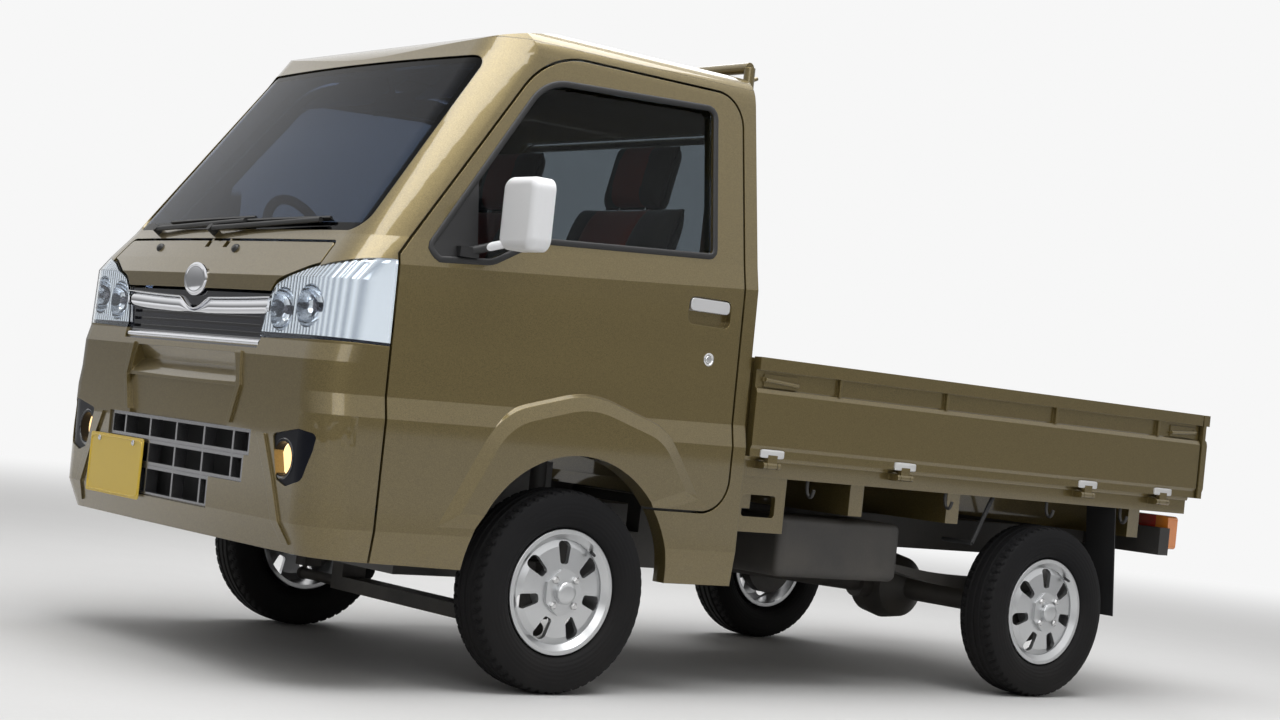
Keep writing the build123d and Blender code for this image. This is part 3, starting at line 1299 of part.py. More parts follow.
def all_parts():
    """Every node of the truck by name."""
    parts = {
        "frame_ladder": frame_ladder(), "front_suspension": front_suspension(), "rear_axle": rear_axle(),
        "leaf_springs": leaf_springs(), "engine_block": engine_block(), "prop_shaft": prop_shaft(),
        "fuel_tank": fuel_tank(), "exhaust": exhaust(), "cab_floor": cab_floor(), "cab_frame": cab_frame(),
        "cab_roof": cab_roof(), "cab_back": cab_back(), "rear_window": rear_window(),
        "windscreen": windscreen(), "front_cover": front_cover(), "hood": hood(),
        "grille_upper": grille_upper(), "grille_lower": grille_lower(), "lamp_lenses": lamp_lenses(),
        "lamp_housings": lamp_housings(), "number_plate": number_plate(), "wipers": wipers(),
        "dashboard": dashboard(), "steering_wheel": steering_wheel(), "seat_left": seat(SEAT_X),
        "seat_right": seat(-SEAT_X), "bed_deck": bed_deck(), "bed_headboard": bed_headboard(),
        "gate_tail": gate_tail(), "tail_lamps": tail_lamps(), "rear_bumper": rear_bumper(),
        "mud_guards": mud_guards(),
    }
    pairs = {"door": door_left(), "door_glass": door_glass(), "door_mirror": door_mirror(), "gate": gate_left(),
             "knuckle": knuckle()}
    for name, left in pairs.items():
        parts[name + "_left"] = left
        parts[name + "_right"] = mirrored(left)
    disc, rubber = wheel_disc(), tyre()
    for axle, track, y in (("front", TRACK_FRONT, FRONT_AXLE_Y), ("rear", TRACK_REAR, REAR_AXLE_Y)):
        for side, word in ((1, "left"), (-1, "right")):
            parts[f"wheel_{axle}_{word}"] = place_wheel(disc, side, track, y)
            parts[f"tyre_{axle}_{word}"] = place_wheel(rubber, side, track, y)
    return parts


os.makedirs("parts", exist_ok=True)
for node, shape in all_parts().items():
    export_step(shape, f"parts/{node}.step")
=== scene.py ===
import math

import bmesh
import bpy
import numpy as np
from mathutils import Matrix, Vector
from mathutils.bvhtree import BVHTree


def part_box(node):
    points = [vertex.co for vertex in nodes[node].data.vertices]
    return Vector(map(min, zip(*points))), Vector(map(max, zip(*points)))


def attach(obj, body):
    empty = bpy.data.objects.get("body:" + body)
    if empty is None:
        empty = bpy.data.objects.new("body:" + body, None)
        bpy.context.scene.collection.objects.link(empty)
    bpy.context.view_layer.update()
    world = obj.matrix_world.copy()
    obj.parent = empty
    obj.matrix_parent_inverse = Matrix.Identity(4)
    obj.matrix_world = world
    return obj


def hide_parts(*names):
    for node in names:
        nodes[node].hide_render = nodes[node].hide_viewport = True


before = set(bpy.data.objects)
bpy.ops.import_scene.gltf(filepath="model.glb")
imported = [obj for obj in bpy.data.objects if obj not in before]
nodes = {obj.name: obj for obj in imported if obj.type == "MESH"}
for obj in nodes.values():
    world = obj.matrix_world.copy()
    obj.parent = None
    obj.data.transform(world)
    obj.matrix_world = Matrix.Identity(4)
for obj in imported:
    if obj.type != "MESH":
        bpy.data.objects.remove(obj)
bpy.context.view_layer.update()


# Running gear
# A welded ladder frame with leaf springs, a live rear axle and struts in front.
# Pressed and cast steel in satin black, with road dust on what hangs low.
MM = 0.001


def added(tree, *kinds):
    """New shader nodes of the kinds named, in that order."""
    return [tree.nodes.new(f"ShaderNode{kind}") for kind in kinds]


def preset(node, **values):
    """Sets a node's input sockets by name, with an underscore for each space."""
    for name, value in values.items():
        node.inputs[name.replace("_", " ")].default_value = value


def feed(tree, node, **sockets):
    """Links output sockets to a node's inputs by name, with an underscore for each space."""
    for name, socket in sockets.items():
        tree.links.new(socket, node.inputs[name.replace("_", " ")])


def wire(tree, *rows):
    """Links sockets, a row for each: the giving node and its output, the taking node and its input."""
    for giver, result, taker, entry in rows:
        tree.links.new(giver.outputs[result], taker.inputs[entry])


def effect(name, entries, results):
    """A new node group with (name, kind, value) rows of inputs and (name, kind) rows of outputs."""
    group = bpy.data.node_groups.new(name, "ShaderNodeTree")
    for entry, kind, value in entries:
        socket = group.interface.new_socket(entry, in_out="INPUT", socket_type=f"NodeSocket{kind}")
        socket.default_value = value
    for result, kind in results:
        group.interface.new_socket(result, in_out="OUTPUT", socket_type=f"NodeSocket{kind}")
    return group, group.nodes.new("NodeGroupInput"), group.nodes.new("NodeGroupOutput")


def applied(tree, group, **values):
    """A node that applies a node group, with some of its inputs set."""
    node = tree.nodes.new("ShaderNodeGroup")
    node.node_tree = group
    preset(node, **values)
    return node


def fine_grain():
    """A node group. Two noises on Object coordinates: a broad cloud for colour, a fine speckle for bump."""
    group, entry, result = effect("fine_grain", [("Scale", "Float", 200.0)],
                                  [("Cloud", "Float"), ("Speckle", "Float")])
    place, cloud, speckle = added(group, "TexCoord", "TexNoise", "TexNoise")
    preset(cloud, Scale=4.0, Detail=6.0)
    preset(speckle, Detail=3.0)
    wire(group, (entry, "Scale", speckle, "Scale"),
         (place, "Object", cloud, "Vector"), (cloud, "Fac", result, "Cloud"),
         (place, "Object", speckle, "Vector"), (speckle, "Fac", result, "Speckle"))
    return group


def road_film():
    """A node group. A dust mask: full at the ground, fading to nothing at a height, broken by a noise."""
    group, entry, result = effect("road_film", [("Top", "Float", 0.6), ("Amount", "Float", 0.4)],
                                  [("Mask", "Float")])
    place, split, noise, fade = added(group, "TexCoord", "SeparateXYZ", "TexNoise", "MapRange")
    broken, amount = added(group, "Math", "Math")
    broken.operation = amount.operation = "MULTIPLY"
    preset(noise, Scale=9.0, Detail=8.0)
    preset(fade, From_Min=0.05, To_Min=1.0, To_Max=0.0)
    wire(group, (place, "Object", split, 0), (place, "Object", noise, "Vector"), (split, "Z", fade, "Value"),
         (entry, "Top", fade, "From Max"), (fade, "Result", broken, 0), (noise, "Fac", broken, 1),
         (broken, 0, amount, 0), (entry, "Amount", amount, 1), (amount, 0, result, "Mask"))
    return group


def mixed(tree, mask, low, high):
    """The colour output of a mix between two colours, or colour sockets, by a mask socket."""
    mix = tree.nodes.new("ShaderNodeMix")
    mix.data_type = "RGBA"
    tree.links.new(mask, mix.inputs["Factor"])
    for end, socket in ((low, mix.inputs["A"]), (high, mix.inputs["B"])):
        if isinstance(end, tuple):
            socket.default_value = end
        else:
            tree.links.new(end, socket)
    return mix.outputs["Result"]


def ranged(tree, value, low, high):
    """A 0 to 1 value socket stretched to run from low to high."""
    span = tree.nodes.new("ShaderNodeMapRange")
    preset(span, To_Min=low, To_Max=high)
    feed(tree, span, Value=value)
    return span.outputs["Result"]


def blank(name):
    """A new material, with its node tree and its shader."""
    made = bpy.data.materials.new(name)
    made.use_nodes = True
    return made, made.node_tree, made.node_tree.nodes["Principled BSDF"]


GRAIN, FILM = fine_grain(), road_film()
DUST = (0.23, 0.20, 0.16, 1.0)
SMOOTHEST, ROUGH_SPREAD = 0.02, 0.2


def finish(name, colour, roughness, scale=300.0, spread=0.12, bump=0.1, film=(0.0, 0.0), **sockets):
    """A material: a colour that clouds by a spread, roughness and bump from a grain of some scale, and road
    film up to a height by an amount. What is the same all over is set on the shader's own sockets."""
    made, tree, shader = blank(name)
    grain = applied(tree, GRAIN, Scale=scale)
    dark = tuple(c * (1 - spread) for c in colour) + (1.0,)
    pale = tuple(min(1.0, c * (1 + spread)) for c in colour) + (1.0,)
    shade = mixed(tree, grain.outputs["Cloud"], dark, pale)
    top, amount = film
    if amount:
        dust = applied(tree, FILM, Top=top, Amount=amount)
        shade = mixed(tree, dust.outputs["Mask"], shade, DUST)
    smooth, rough = max(SMOOTHEST, roughness * (1 - ROUGH_SPREAD)), min(1.0, roughness * (1 + ROUGH_SPREAD))
    feed(tree, shader, Base_Color=shade, Roughness=ranged(tree, grain.outputs["Speckle"], smooth, rough))
    if bump:
        relief = tree.nodes.new("ShaderNodeBump")
        preset(relief, Strength=bump, Distance=MM)
        wire(tree, (grain, "Speckle", relief, "Height"), (relief, "Normal", shader, "Normal"))
    preset(shader, **sockets)
    return made


def wear(made, *names):
    """Gives CAD nodes a material."""
    for name in names:
        nodes[name].data.materials.clear()
        nodes[name].data.materials.append(made)


CHASSIS_BLACK = finish("chassis_black", (0.022, 0.022, 0.023), 0.55, 180, 0.25, 0.25, (0.7, 0.5))
wear(CHASSIS_BLACK, "frame_ladder", "front_suspension", "rear_axle", "leaf_springs", "prop_shaft",
     "fuel_tank", "rear_bumper", "knuckle_left", "knuckle_right")
ENGINE_CASTING = finish("engine_casting", (0.17, 0.17, 0.17), 0.6, 240, 0.2, 0.5, (0.6, 0.6), Metallic=0.7)
wear(ENGINE_CASTING, "engine_block")
EXHAUST_STEEL = finish("exhaust_steel", (0.26, 0.22, 0.19), 0.5, 120, 0.35, 0.3, (0.5, 0.6), Metallic=0.85)
wear(EXHAUST_STEEL, "exhaust")


# Tyres
# 145R12 light truck tyres: moulded rubber with three ring grooves and cut shoulder blocks.
# Each one is a section carried once round the axle, and stands for the plain CAD ring.
SAME_POINT, NO_LENGTH = 2e-6, 1e-6
SHARP_ANGLE = math.radians(38)
# How a grid closes on itself: HOOP by its rows, TUBE by its columns, LOOP by both
HOOP, TUBE, LOOP = (True, False), (False, True), (True, True)


def shown(name, data):
    """A new object in the scene that shows some data."""
    item = bpy.data.objects.new(name, data)
    bpy.context.scene.collection.objects.link(item)
    return item


def piece(name, grids, body, made, wrap=(False, False)):
    """One mesh from point grids [i, j]: neighbours share a quad, and a wrapped direction closes on itself.
    Points that coincide are merged, so poles and seams are closed, and the faces are turned outwards."""
    points, quads, start = [], [], 0
    for grid in grids:
        rows, columns = grid.shape[:2]
        index = np.arange(rows * columns).reshape(rows, columns) + start
        index = np.vstack([index, index[:1]]) if wrap[0] else index
        index = np.hstack([index, index[:, :1]]) if wrap[1] else index
        corners = (index[:-1, :-1], index[1:, :-1], index[1:, 1:], index[:-1, 1:])
        quads.append(np.stack(corners, axis=-1).reshape(-1, 4))
        points.append(grid.reshape(-1, 3))
        start += rows * columns
    mesh = bpy.data.meshes.new(name)
    mesh.from_pydata(np.vstack(points).tolist(), [], np.vstack(quads).tolist())
    merged = bmesh.new()
    merged.from_mesh(mesh)
    bmesh.ops.remove_doubles(merged, verts=merged.verts, dist=SAME_POINT)
    bmesh.ops.dissolve_degenerate(merged, edges=merged.edges, dist=NO_LENGTH)
    bmesh.ops.recalc_face_normals(merged, faces=merged.faces)
    merged.to_mesh(mesh)
    merged.free()
    mesh.set_sharp_from_angle(angle=SHARP_ANGLE)
    mesh.polygons.foreach_set("use_smooth", np.ones(len(mesh.polygons), bool))
    mesh.materials.append(made)
    item = shown(name, mesh)
    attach(item, body)
    return item


def eased(points, rounds=3):
    """A row of points with its corners cut: each run keeps its quarter points, a few times over."""
    points = np.asarray(points, float)
    for _ in range(rounds):
        near = 0.75 * points[:-1] + 0.25 * points[1:]
        far = 0.25 * points[:-1] + 0.75 * points[1:]
        inner = np.stack([near, far], axis=1).reshape(-1, points.shape[1])
        points = np.vstack([points[:1], inner, points[-1:]])
    return points


def turns(steps):
    """Even steps round a circle, in radians."""
    return np.linspace(0, 2 * np.pi, steps, endpoint=False)


def xyz(x, y, z):
    """Points from their coordinates, each of them a grid, a row or one number for all."""
    return np.stack(np.broadcast_arrays(x, y, z), axis=-1)


# Millimetres: distance from the middle plane and radius, from the bead to the middle of the tread
TYRE_HALF_SECTION = ((40, 161), (47, 168), (62, 176), (72, 198), (72, 226), (66, 255), (56, 265.5), (30, 268),
                     (0, 268))
TREAD_FOOT, TREAD_RUN = 258, 5
RING_GROOVES = (-26.0, 0.0, 26.0)
GROOVE_FLOOR, GROOVE_WALL, GROOVE_DEPTH = 1.6, 2.2, 6.5
BLOCKS, STEPS_A_BLOCK = 58, 6
SHOULDER, SHOULDER_RUN = 33, 3
SLOT_SLANT, SLOT_SHARE, SLOT_DEPTH = 0.012, 0.17, 5.0
RIBS_FROM, RIBS_TO, RIB_PITCH, RIB_RISE = 180, 236, 11.0, 0.7


def tyre_grid(side):
    """The section carried round the axle. Tread depth is taken off the radius where a ring groove or a
    shoulder slot runs: a groove near fixed offsets, a slot on part of each block beyond the outer grooves."""
    half = eased(TYRE_HALF_SECTION)
    section = np.vstack([half, (half * (-1, 1))[::-1][1:]])
    across, radius = section[:, 0][None, :], section[:, 1][None, :]
    turn = turns(BLOCKS * STEPS_A_BLOCK)[:, None]
    tread = np.clip((radius - TREAD_FOOT) / TREAD_RUN, 0, 1)
    grooves = [np.clip(GROOVE_FLOOR - np.abs(across - g) / GROOVE_WALL, 0, 1) for g in RING_GROOVES]
    phase = (turn / (2 * np.pi) * BLOCKS + SLOT_SLANT * across * np.sign(across)) % 1.0
    slot = (np.abs(phase - 0.5) < SLOT_SHARE) * np.clip((np.abs(across) - SHOULDER) / SHOULDER_RUN, 0, 1)
    cut = tread * np.maximum(GROOVE_DEPTH * np.max(grooves, axis=0), SLOT_DEPTH * slot)
    ribbed = (radius < RIBS_TO) * (radius > RIBS_FROM) * np.sign(across)
    wall = RIB_RISE * np.cos(2 * np.pi * (radius - RIBS_FROM) / RIB_PITCH) * ribbed
    r = (radius - cut) * MM
    return xyz(side * (across + wall) * MM, r * np.cos(turn), r * np.sin(turn))


TYRE_RUBBER = finish("tyre_rubber", (0.010, 0.010, 0.011), 0.72, 500, 0.25, 0.25, (0.5, 0.05),
                     Specular_IOR_Level=0.15)
SIDES = (("left", 1), ("right", -1))
CORNERS = [(f"{axle}_{hand}", side) for axle in ("front", "rear") for hand, side in SIDES]


def wheel_centre(corner):
    """The middle of a tyre's box."""
    low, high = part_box(f"tyre_{corner}")
    return np.array((low + high) / 2)


for corner, side in CORNERS:
    tread = piece(f"tyre_tread_{corner}", [tyre_grid(side) + wheel_centre(corner)], f"wheel_{corner}_body",
                  TYRE_RUBBER, HOOP)
    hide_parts(f"tyre_{corner}")


# Wheels
# Pressed steel discs painted silver, with a hub cover, four nuts and a rubber valve stem.
# The cap in the middle is plain.
def revolved(profile, centre, axis, steps=32):
    """A profile of (along, radius) rows in millimetres, turned round an axis through a centre."""
    along, radius = np.asarray(profile, float).T * MM
    axis = np.asarray(axis, float) / np.linalg.norm(axis)
    side = np.cross(axis, (0, 0, 1) if abs(axis[2]) < 0.9 else (1, 0, 0))
    side = side / np.linalg.norm(side)
    up = np.cross(axis, side)
    turn = turns(steps)[:, None]
    ring = np.cos(turn) * side + np.sin(turn) * up
    return np.asarray(centre) + along[:, None, None] * axis + radius[:, None, None] * ring[None]


WHEEL_SILVER = finish("wheel_silver", (0.56, 0.57, 0.58), 0.3, 900, 0.06, 0.05, (0.5, 0.12),
                      Metallic=0.85, Coat_Weight=0.6, Coat_Roughness=0.12)
BRIGHT_STEEL = finish("bright_steel", (0.62, 0.62, 0.62), 0.24, 700, 0.08, 0.04, Metallic=1.0)
BLACK_RUBBER = finish("black_rubber", (0.014, 0.014, 0.015), 0.6, 450, 0.2, 0.2)
HUB_FACE, CAP_FACE = 62.0, 10.0
NUT_CIRCLE, NUT_TURNS = 47.0, np.radians([45, 135, 225, 315])
CAP_PROFILE = ((0, 0), (0, 29), (5, 29), (8.5, 26), (10.5, 18), (11, 0))
NUT_PROFILE = ((0, 0), (0, 10.5), (9, 10.5), (12.5, 7), (13, 0))
VALVE_PROFILE = ((0, 0), (0, 5), (16, 4), (22, 4), (26, 3), (26, 0))
VALVE_OUT, VALVE_BACK, VALVE_UP = 48.0, 88.0, 108.0
VALVE_LEAN = np.array((0, -0.25, -0.3))
wear(WHEEL_SILVER, *[f"wheel_{corner}" for corner, side in CORNERS])
for corner, side in CORNERS:
    centre, body = wheel_centre(corner), f"wheel_{corner}_body"
    out = np.array((side, 0.0, 0.0))
    face = centre + out * HUB_FACE * MM
    seats = [face + NUT_CIRCLE * MM * np.array((0, math.cos(t), math.sin(t))) for t in NUT_TURNS]
    piece(f"wheel_nuts_{corner}", [revolved(NUT_PROFILE, seat, out, 6) for seat in seats], body, BRIGHT_STEEL,
          TUBE)
    piece(f"hub_cap_{corner}", [revolved(CAP_PROFILE, face + out * CAP_FACE * MM, out, 40)], body,
          WHEEL_SILVER, TUBE)
    stem = centre + np.array((side * VALVE_OUT, VALVE_BACK, VALVE_UP)) * MM
    piece(f"valve_stem_{corner}", [revolved(VALVE_PROFILE, stem, out + VALVE_LEAN, 14)], body, BLACK_RUBBER,
          TUBE)


# Cab and bed panels
# Pressed steel sheets, welded and hung on hinges, in olive-bronze metallic enamel.
# Mica flakes sit under a clear lacquer with a slight orange peel, and every pressed edge is a little round.
def pressed_edge():
    """A node group. The normal rounded over by a small radius at each edge, then rippled by orange peel."""
    group, entry, result = effect("pressed_edge", [("Radius", "Float", 3 * MM)], [("Normal", "Vector")])
    place, peel, edge, relief = added(group, "TexCoord", "TexNoise", "Bevel", "Bump")
    edge.samples = 4
    preset(peel, Scale=260.0)
    preset(relief, Strength=0.03, Distance=0.6 * MM)
    wire(group, (entry, "Radius", edge, "Radius"), (place, "Object", peel, "Vector"),
         (peel, "Fac", relief, "Height"), (edge, "Normal", relief, "Normal"),
         (relief, "Normal", result, "Normal"))
    return group


def patch_mask():
    """A node group. One inside a box, given by its centre and half size and the same left and right."""
    nowhere = (0.0, 0.0, 0.0)
    group, entry, result = effect("patch_mask", [("Centre", "Vector", nowhere), ("Half", "Vector", nowhere)],
                                  [("Mask", "Float")])
    place, split, join, parts = added(group, "TexCoord", "SeparateXYZ", "CombineXYZ", "SeparateXYZ")
    away, size, room = added(group, "VectorMath", "VectorMath", "VectorMath")
    fold, first, last, inside = added(group, "Math", "Math", "Math", "Math")
    away.operation = room.operation = "SUBTRACT"
    size.operation = fold.operation = "ABSOLUTE"
    first.operation = last.operation = "MAXIMUM"
    inside.operation = "LESS_THAN"
    inside.inputs[1].default_value = 0.0
    wire(group, (place, "Object", split, 0), (split, "X", fold, 0), (fold, 0, join, "X"),
         (split, "Y", join, "Y"), (split, "Z", join, "Z"), (join, 0, away, 0), (entry, "Centre", away, 1),
         (away, 0, size, 0), (size, 0, room, 0), (entry, "Half", room, 1), (room, 0, parts, 0),
         (parts, "X", first, 0), (parts, "Y", first, 1), (first, 0, last, 0), (parts, "Z", last, 1),
         (last, 0, inside, 0), (inside, 0, result, "Mask"))
    return group


EDGE, PATCH = pressed_edge(), patch_mask()
OLIVE, OLIVE_DEEP = (0.190, 0.144, 0.053, 1.0), (0.120, 0.090, 0.031, 1.0)


def patch(tree, centre, half):
    """A mask socket for a box on a piece, from its centre and half size in millimetres."""
    box = applied(tree, PATCH, Centre=[c * MM for c in centre], Half=[h * MM for h in half])
    return box.outputs["Mask"]


def enamel(name):
    """Olive enamel. Flakes are the cells of a fine Voronoi pattern that lighten or darken the colour."""
    made, tree, shader = blank(name)
    place, flake, split = added(tree, "TexCoord", "TexVoronoi", "SeparateColor")
    preset(flake, Scale=700.0)
    preset(shader, Metallic=0.65, Coat_Weight=1.0, Coat_Roughness=0.04)
    dust, edge = applied(tree, FILM, Top=0.5, Amount=0.16), applied(tree, EDGE)
    wire(tree, (place, "Object", flake, "Vector"), (flake, "Color", split, 0),
         (edge, "Normal", shader, "Normal"))
    shade = mixed(tree, split.outputs[0], OLIVE_DEEP, OLIVE)
    feed(tree, shader, Base_Color=mixed(tree, dust.outputs["Mask"], shade, DUST),
         Roughness=ranged(tree, split.outputs[1], 0.28, 0.4))
    return made


CAB_ENAMEL = enamel("cab_enamel")
wear(CAB_ENAMEL, "cab_frame", "cab_roof", "cab_back", "front_cover", "hood", "bed_deck", "bed_headboard",
     "gate_left", "gate_right", "gate_tail")
HEADER_FRONT, HEADER_REAR, HEADER_LOW = -0.3655, -0.3305, 1.690
HEADER_END, HEADER_STEPS = 0.552, 81
ROOF_CROWN, ROOF_FALL = 1.7365, 7.618
ROOF_BEND, ROOF_BEND_RATE = 0.5246, 8.4


def roof_header():
    """The cab back's top edge. Its upper line is the roof's inner crown, a parabola that bends down at the
    ends, and its lower line the back panel's level edge. The section is a plain rectangle between the two."""
    x = np.linspace(-HEADER_END, HEADER_END, HEADER_STEPS)
    bend = np.maximum(np.abs(x) - ROOF_BEND, 0)
    top = np.maximum(ROOF_CROWN - x ** 2 / ROOF_FALL - ROOF_BEND_RATE * bend ** 2, HEADER_LOW)
    corners = ((HEADER_FRONT, HEADER_LOW), (HEADER_REAR, HEADER_LOW), (HEADER_REAR, top), (HEADER_FRONT, top))
    return np.stack([xyz(x, y, z) for y, z in corners], axis=1)


piece("roof_header", [roof_header()], "chassis", CAB_ENAMEL, TUBE)


# Front grille
# A dark glossy moulding between the lamps with two chrome strips. The upper strip dips round the medallion,
# which is a plain chrome oval on the lid. A silver bar grid closes the bumper, with the radiator behind it.
def skin_points(node, starts, direction):
    """Each start point carried along a direction to where it first meets a node's mesh."""
    mesh = nodes[node].data
    tree = BVHTree.FromPolygons([v.co for v in mesh.vertices], [p.vertices for p in mesh.polygons])
    hits = [tree.ray_cast(Vector(p), Vector(direction))[0] or Vector(p) for p in starts.reshape(-1, 3)]
    return np.array(hits).reshape(starts.shape)


CHROME = finish("chrome_strip", (0.78, 0.79, 0.82), 0.07, 600, 0.03, 0.0, Metallic=1.0)
GRILLE_DARK = finish("grille_dark", (0.012, 0.014, 0.022), 0.12, 500, 0.1, 0.02,
                     Coat_Weight=0.8, Coat_Roughness=0.03)
GRILLE_SILVER = finish("grille_silver", (0.30, 0.30, 0.31), 0.25, 700, 0.05, 0.03, Metallic=0.9)
RADIATOR = finish("radiator_black", (0.012, 0.012, 0.013), 0.5, 300, 0.2, 0.2)
wear(GRILLE_DARK, "grille_upper")
wear(GRILLE_SILVER, "grille_lower")
FRONT = -1.95
GRILLE_HALF, GRILLE_STEPS, GRILLE_FACE = 0.402, 161, 0.37
GRILLE_CLEAR_ROWS = (0.835, 0.935)
STRIP_STEPS, STRIP_BLUNT, STRIP_SEAT = 13, 0.6, 0.001


def in_front(node, x, z):
    """The face of a front node at points x and z, met from ahead."""
    return skin_points(node, xyz(x, FRONT, z), (0, 1, 0))[..., 1]


across = np.linspace(-GRILLE_HALF, GRILLE_HALF, GRILLE_STEPS)
face_x = np.clip(across, -GRILLE_FACE, GRILLE_FACE)
grille_rows = [in_front("grille_upper", face_x, z)[:, None] for z in GRILLE_CLEAR_ROWS]


def strip(top, low, swell):
    """A strip between two edge heights along the grille, which swells out of its face as half a sine."""
    share = np.linspace(0, 1, STRIP_STEPS)[None, :]
    z = low[:, None] + (top - low)[:, None] * share
    height = (z - GRILLE_CLEAR_ROWS[0]) / (GRILLE_CLEAR_ROWS[1] - GRILLE_CLEAR_ROWS[0])
    face = grille_rows[0] * (1 - height) + grille_rows[1] * height
    y = face - swell * np.sin(np.pi * share) ** STRIP_BLUNT + STRIP_SEAT
    return xyz(across[:, None], y, z)


def dip(x, wide, deep):
    """A smooth notch: deepest at the middle, nothing beyond its width."""
    return deep * np.clip(1 - (np.abs(x) / wide) ** 2, 0, 1) ** 1.5


# Upper strip: heights and bows of its edges, notch, bright line and the swell of its two parts
UPPER_TOP, UPPER_TOP_BOW, UPPER_LOW, UPPER_LOW_BOW = 0.950, 0.010, 0.905, 0.009
NOTCH_WIDE, NOTCH_DEEP = 0.085, 0.030
LINE_WIDTH, LINE_GAP, LINE_SWELL, UPPER_SWELL = 0.007, 0.001, 0.010, 0.006
LOWER_HALF, LOWER_TOP, LOWER_LOW, LOWER_SWELL = 0.372, 0.838, 0.8185, 0.008
bow = np.cos(across / GRILLE_HALF * np.pi / 2)
upper_top = UPPER_TOP - UPPER_TOP_BOW * bow - dip(across, NOTCH_WIDE, NOTCH_DEEP)
upper_line = upper_top - LINE_WIDTH
lower_top, lower_low = (np.full_like(across, level) for level in (LOWER_TOP, LOWER_LOW))
strips = [strip(upper_top, upper_line, LINE_SWELL),
          strip(upper_line - LINE_GAP, UPPER_LOW - UPPER_LOW_BOW * bow, UPPER_SWELL),
          strip(lower_top, lower_low, LOWER_SWELL)[np.abs(across) < LOWER_HALF]]
piece("grille_strips", strips, "chassis", CHROME)
MEDALLION_X, MEDALLION_Z, MEDALLION_RISE = 0.064, 0.044, 0.007
MEDALLION_MID, MEDALLION_SINK, LID_LEVEL = 0.985, 0.002, 0.990
# Shares of the rise and of the half size, from the middle of the oval to its foot
DOME = np.array(((0.0, 1.0), (0.5, 1.0), (0.85, 0.94), (1.0, 0.86), (0.8, 0.80), (0.85, 0.72), (1.0, 0.5),
                 (1.1, 0.0)))
turn = turns(64)[None, :]
dome_y = in_front("hood", 0.0, LID_LEVEL) + MEDALLION_SINK - MEDALLION_RISE * DOME[:, :1]
oval = xyz(MEDALLION_X * DOME[:, 1:] * np.cos(turn), dome_y,
           MEDALLION_MID + MEDALLION_Z * DOME[:, 1:] * np.sin(turn))
piece("medallion", [oval], "hood_body", CHROME, TUBE)
CORE_HALF, CORE_LOW, CORE_TOP, CORE_FACE = 0.43, 0.385, 0.63, -1.606
FIN_DEPTH, FIN_PITCH = 0.004, 0.01
core_x, core_z = np.linspace(-CORE_HALF, CORE_HALF, 345)[:, None], np.linspace(CORE_LOW, CORE_TOP, 12)
core = xyz(core_x, CORE_FACE + FIN_DEPTH * np.cos(2 * np.pi * core_x / FIN_PITCH), core_z)
piece("radiator_core", [core], "chassis", RADIATOR)


# Number plate
# A blank yellow pressed plate on two bosses, with a raised rim and two plain bolts.
PLATE_YELLOW = finish("plate_yellow", (0.72, 0.50, 0.03), 0.35, 300, 0.05, 0.05, Coat_Weight=0.3)
wear(PLATE_YELLOW, "number_plate")
plate_low, plate_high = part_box("number_plate")
BOLT = ((0, 0), (0, 8), (3, 8), (5, 6), (5.5, 0))
BOLTS_X, BOLT_Z, BOLT_SINK = (-439.0, -229.0), 0.530, 0.0005
bolts = [revolved(BOLT, (x * MM, plate_low[1] + BOLT_SINK, BOLT_Z), (0, -1, 0), 24) for x in BOLTS_X]
piece("plate_bolts", bolts, "chassis", BRIGHT_STEEL, TUBE)
RIM_X, RIM_Z, RIM_WIRE = 0.158, 0.0755, 0.0022


def squircle(steps, half_x, half_z, power=0.16):
    """A rounded rectangle: a circle whose sine and cosine are raised to a small power."""
    c, s = np.cos(turns(steps)), np.sin(turns(steps))
    return half_x * np.sign(c) * np.abs(c) ** power, half_z * np.sign(s) * np.abs(s) ** power


def swept(path, section, up, closed=False):
    """A closed section of (side, up) rows carried along a path. Open ends are closed to a point."""
    path, section = np.asarray(path, float), np.asarray(section, float)
    ahead = np.roll(path, -1, 0) - np.roll(path, 1, 0) if closed else np.gradient(path, axis=0)
    ahead = ahead / np.linalg.norm(ahead, axis=1, keepdims=True)
    side = np.cross(ahead, np.broadcast_to(np.asarray(up, float), path.shape))
    side = side / np.linalg.norm(side, axis=1, keepdims=True)
    lift = np.cross(side, ahead)
    grid = path[:, None] + side[:, None] * section[None, :, :1] + lift[:, None] * section[None, :, 1:]
    if closed:
        return grid
    ends = [np.repeat(path[i][None, None], len(section), axis=1) for i in (0, -1)]
    return np.concatenate([ends[0], grid, ends[1]])


def round_section(radius, sides=12, flat=1.0):
    """A circle, or an ellipse flattened in its second direction."""
    return radius * np.stack([np.cos(turns(sides)), flat * np.sin(turns(sides))], axis=1)


rim_x, rim_z = squircle(160, RIM_X, RIM_Z)
rim = xyz((plate_low[0] + plate_high[0]) / 2 + rim_x, plate_low[1],
          (plate_low[2] + plate_high[2]) / 2 + rim_z)
piece("plate_rim", [swept(rim, round_section(RIM_WIRE, 8), (0, -1, 0), True)], "chassis", PLATE_YELLOW, LOOP)


# Headlamps and fog lamps
# Clear moulded lenses over bright reflector bowls, each with a shaded bulb, and an amber corner lamp.
# The fog lamps in the bumper are lit, in black bezels. The housings' flutes have painted highlights and
# shade.
def lamp_glass(name, colour, roughness, ior):
    """A clear lens. Shadow rays pass straight through it, so that what is behind it is lit."""
    made, tree, shader = blank(name)
    path, clear, blend = added(tree, "LightPath", "BsdfTransparent", "MixShader")
    preset(shader, Base_Color=colour, Roughness=roughness, Transmission_Weight=1.0, IOR=ior)
    preset(clear, Color=colour)
    wire(tree, (path, "Is Shadow Ray", blend, "Fac"), (shader, 0, blend, 1), (clear, 0, blend, 2),
         (blend, 0, tree.nodes["Material Output"], "Surface"))
    return made, tree, shader


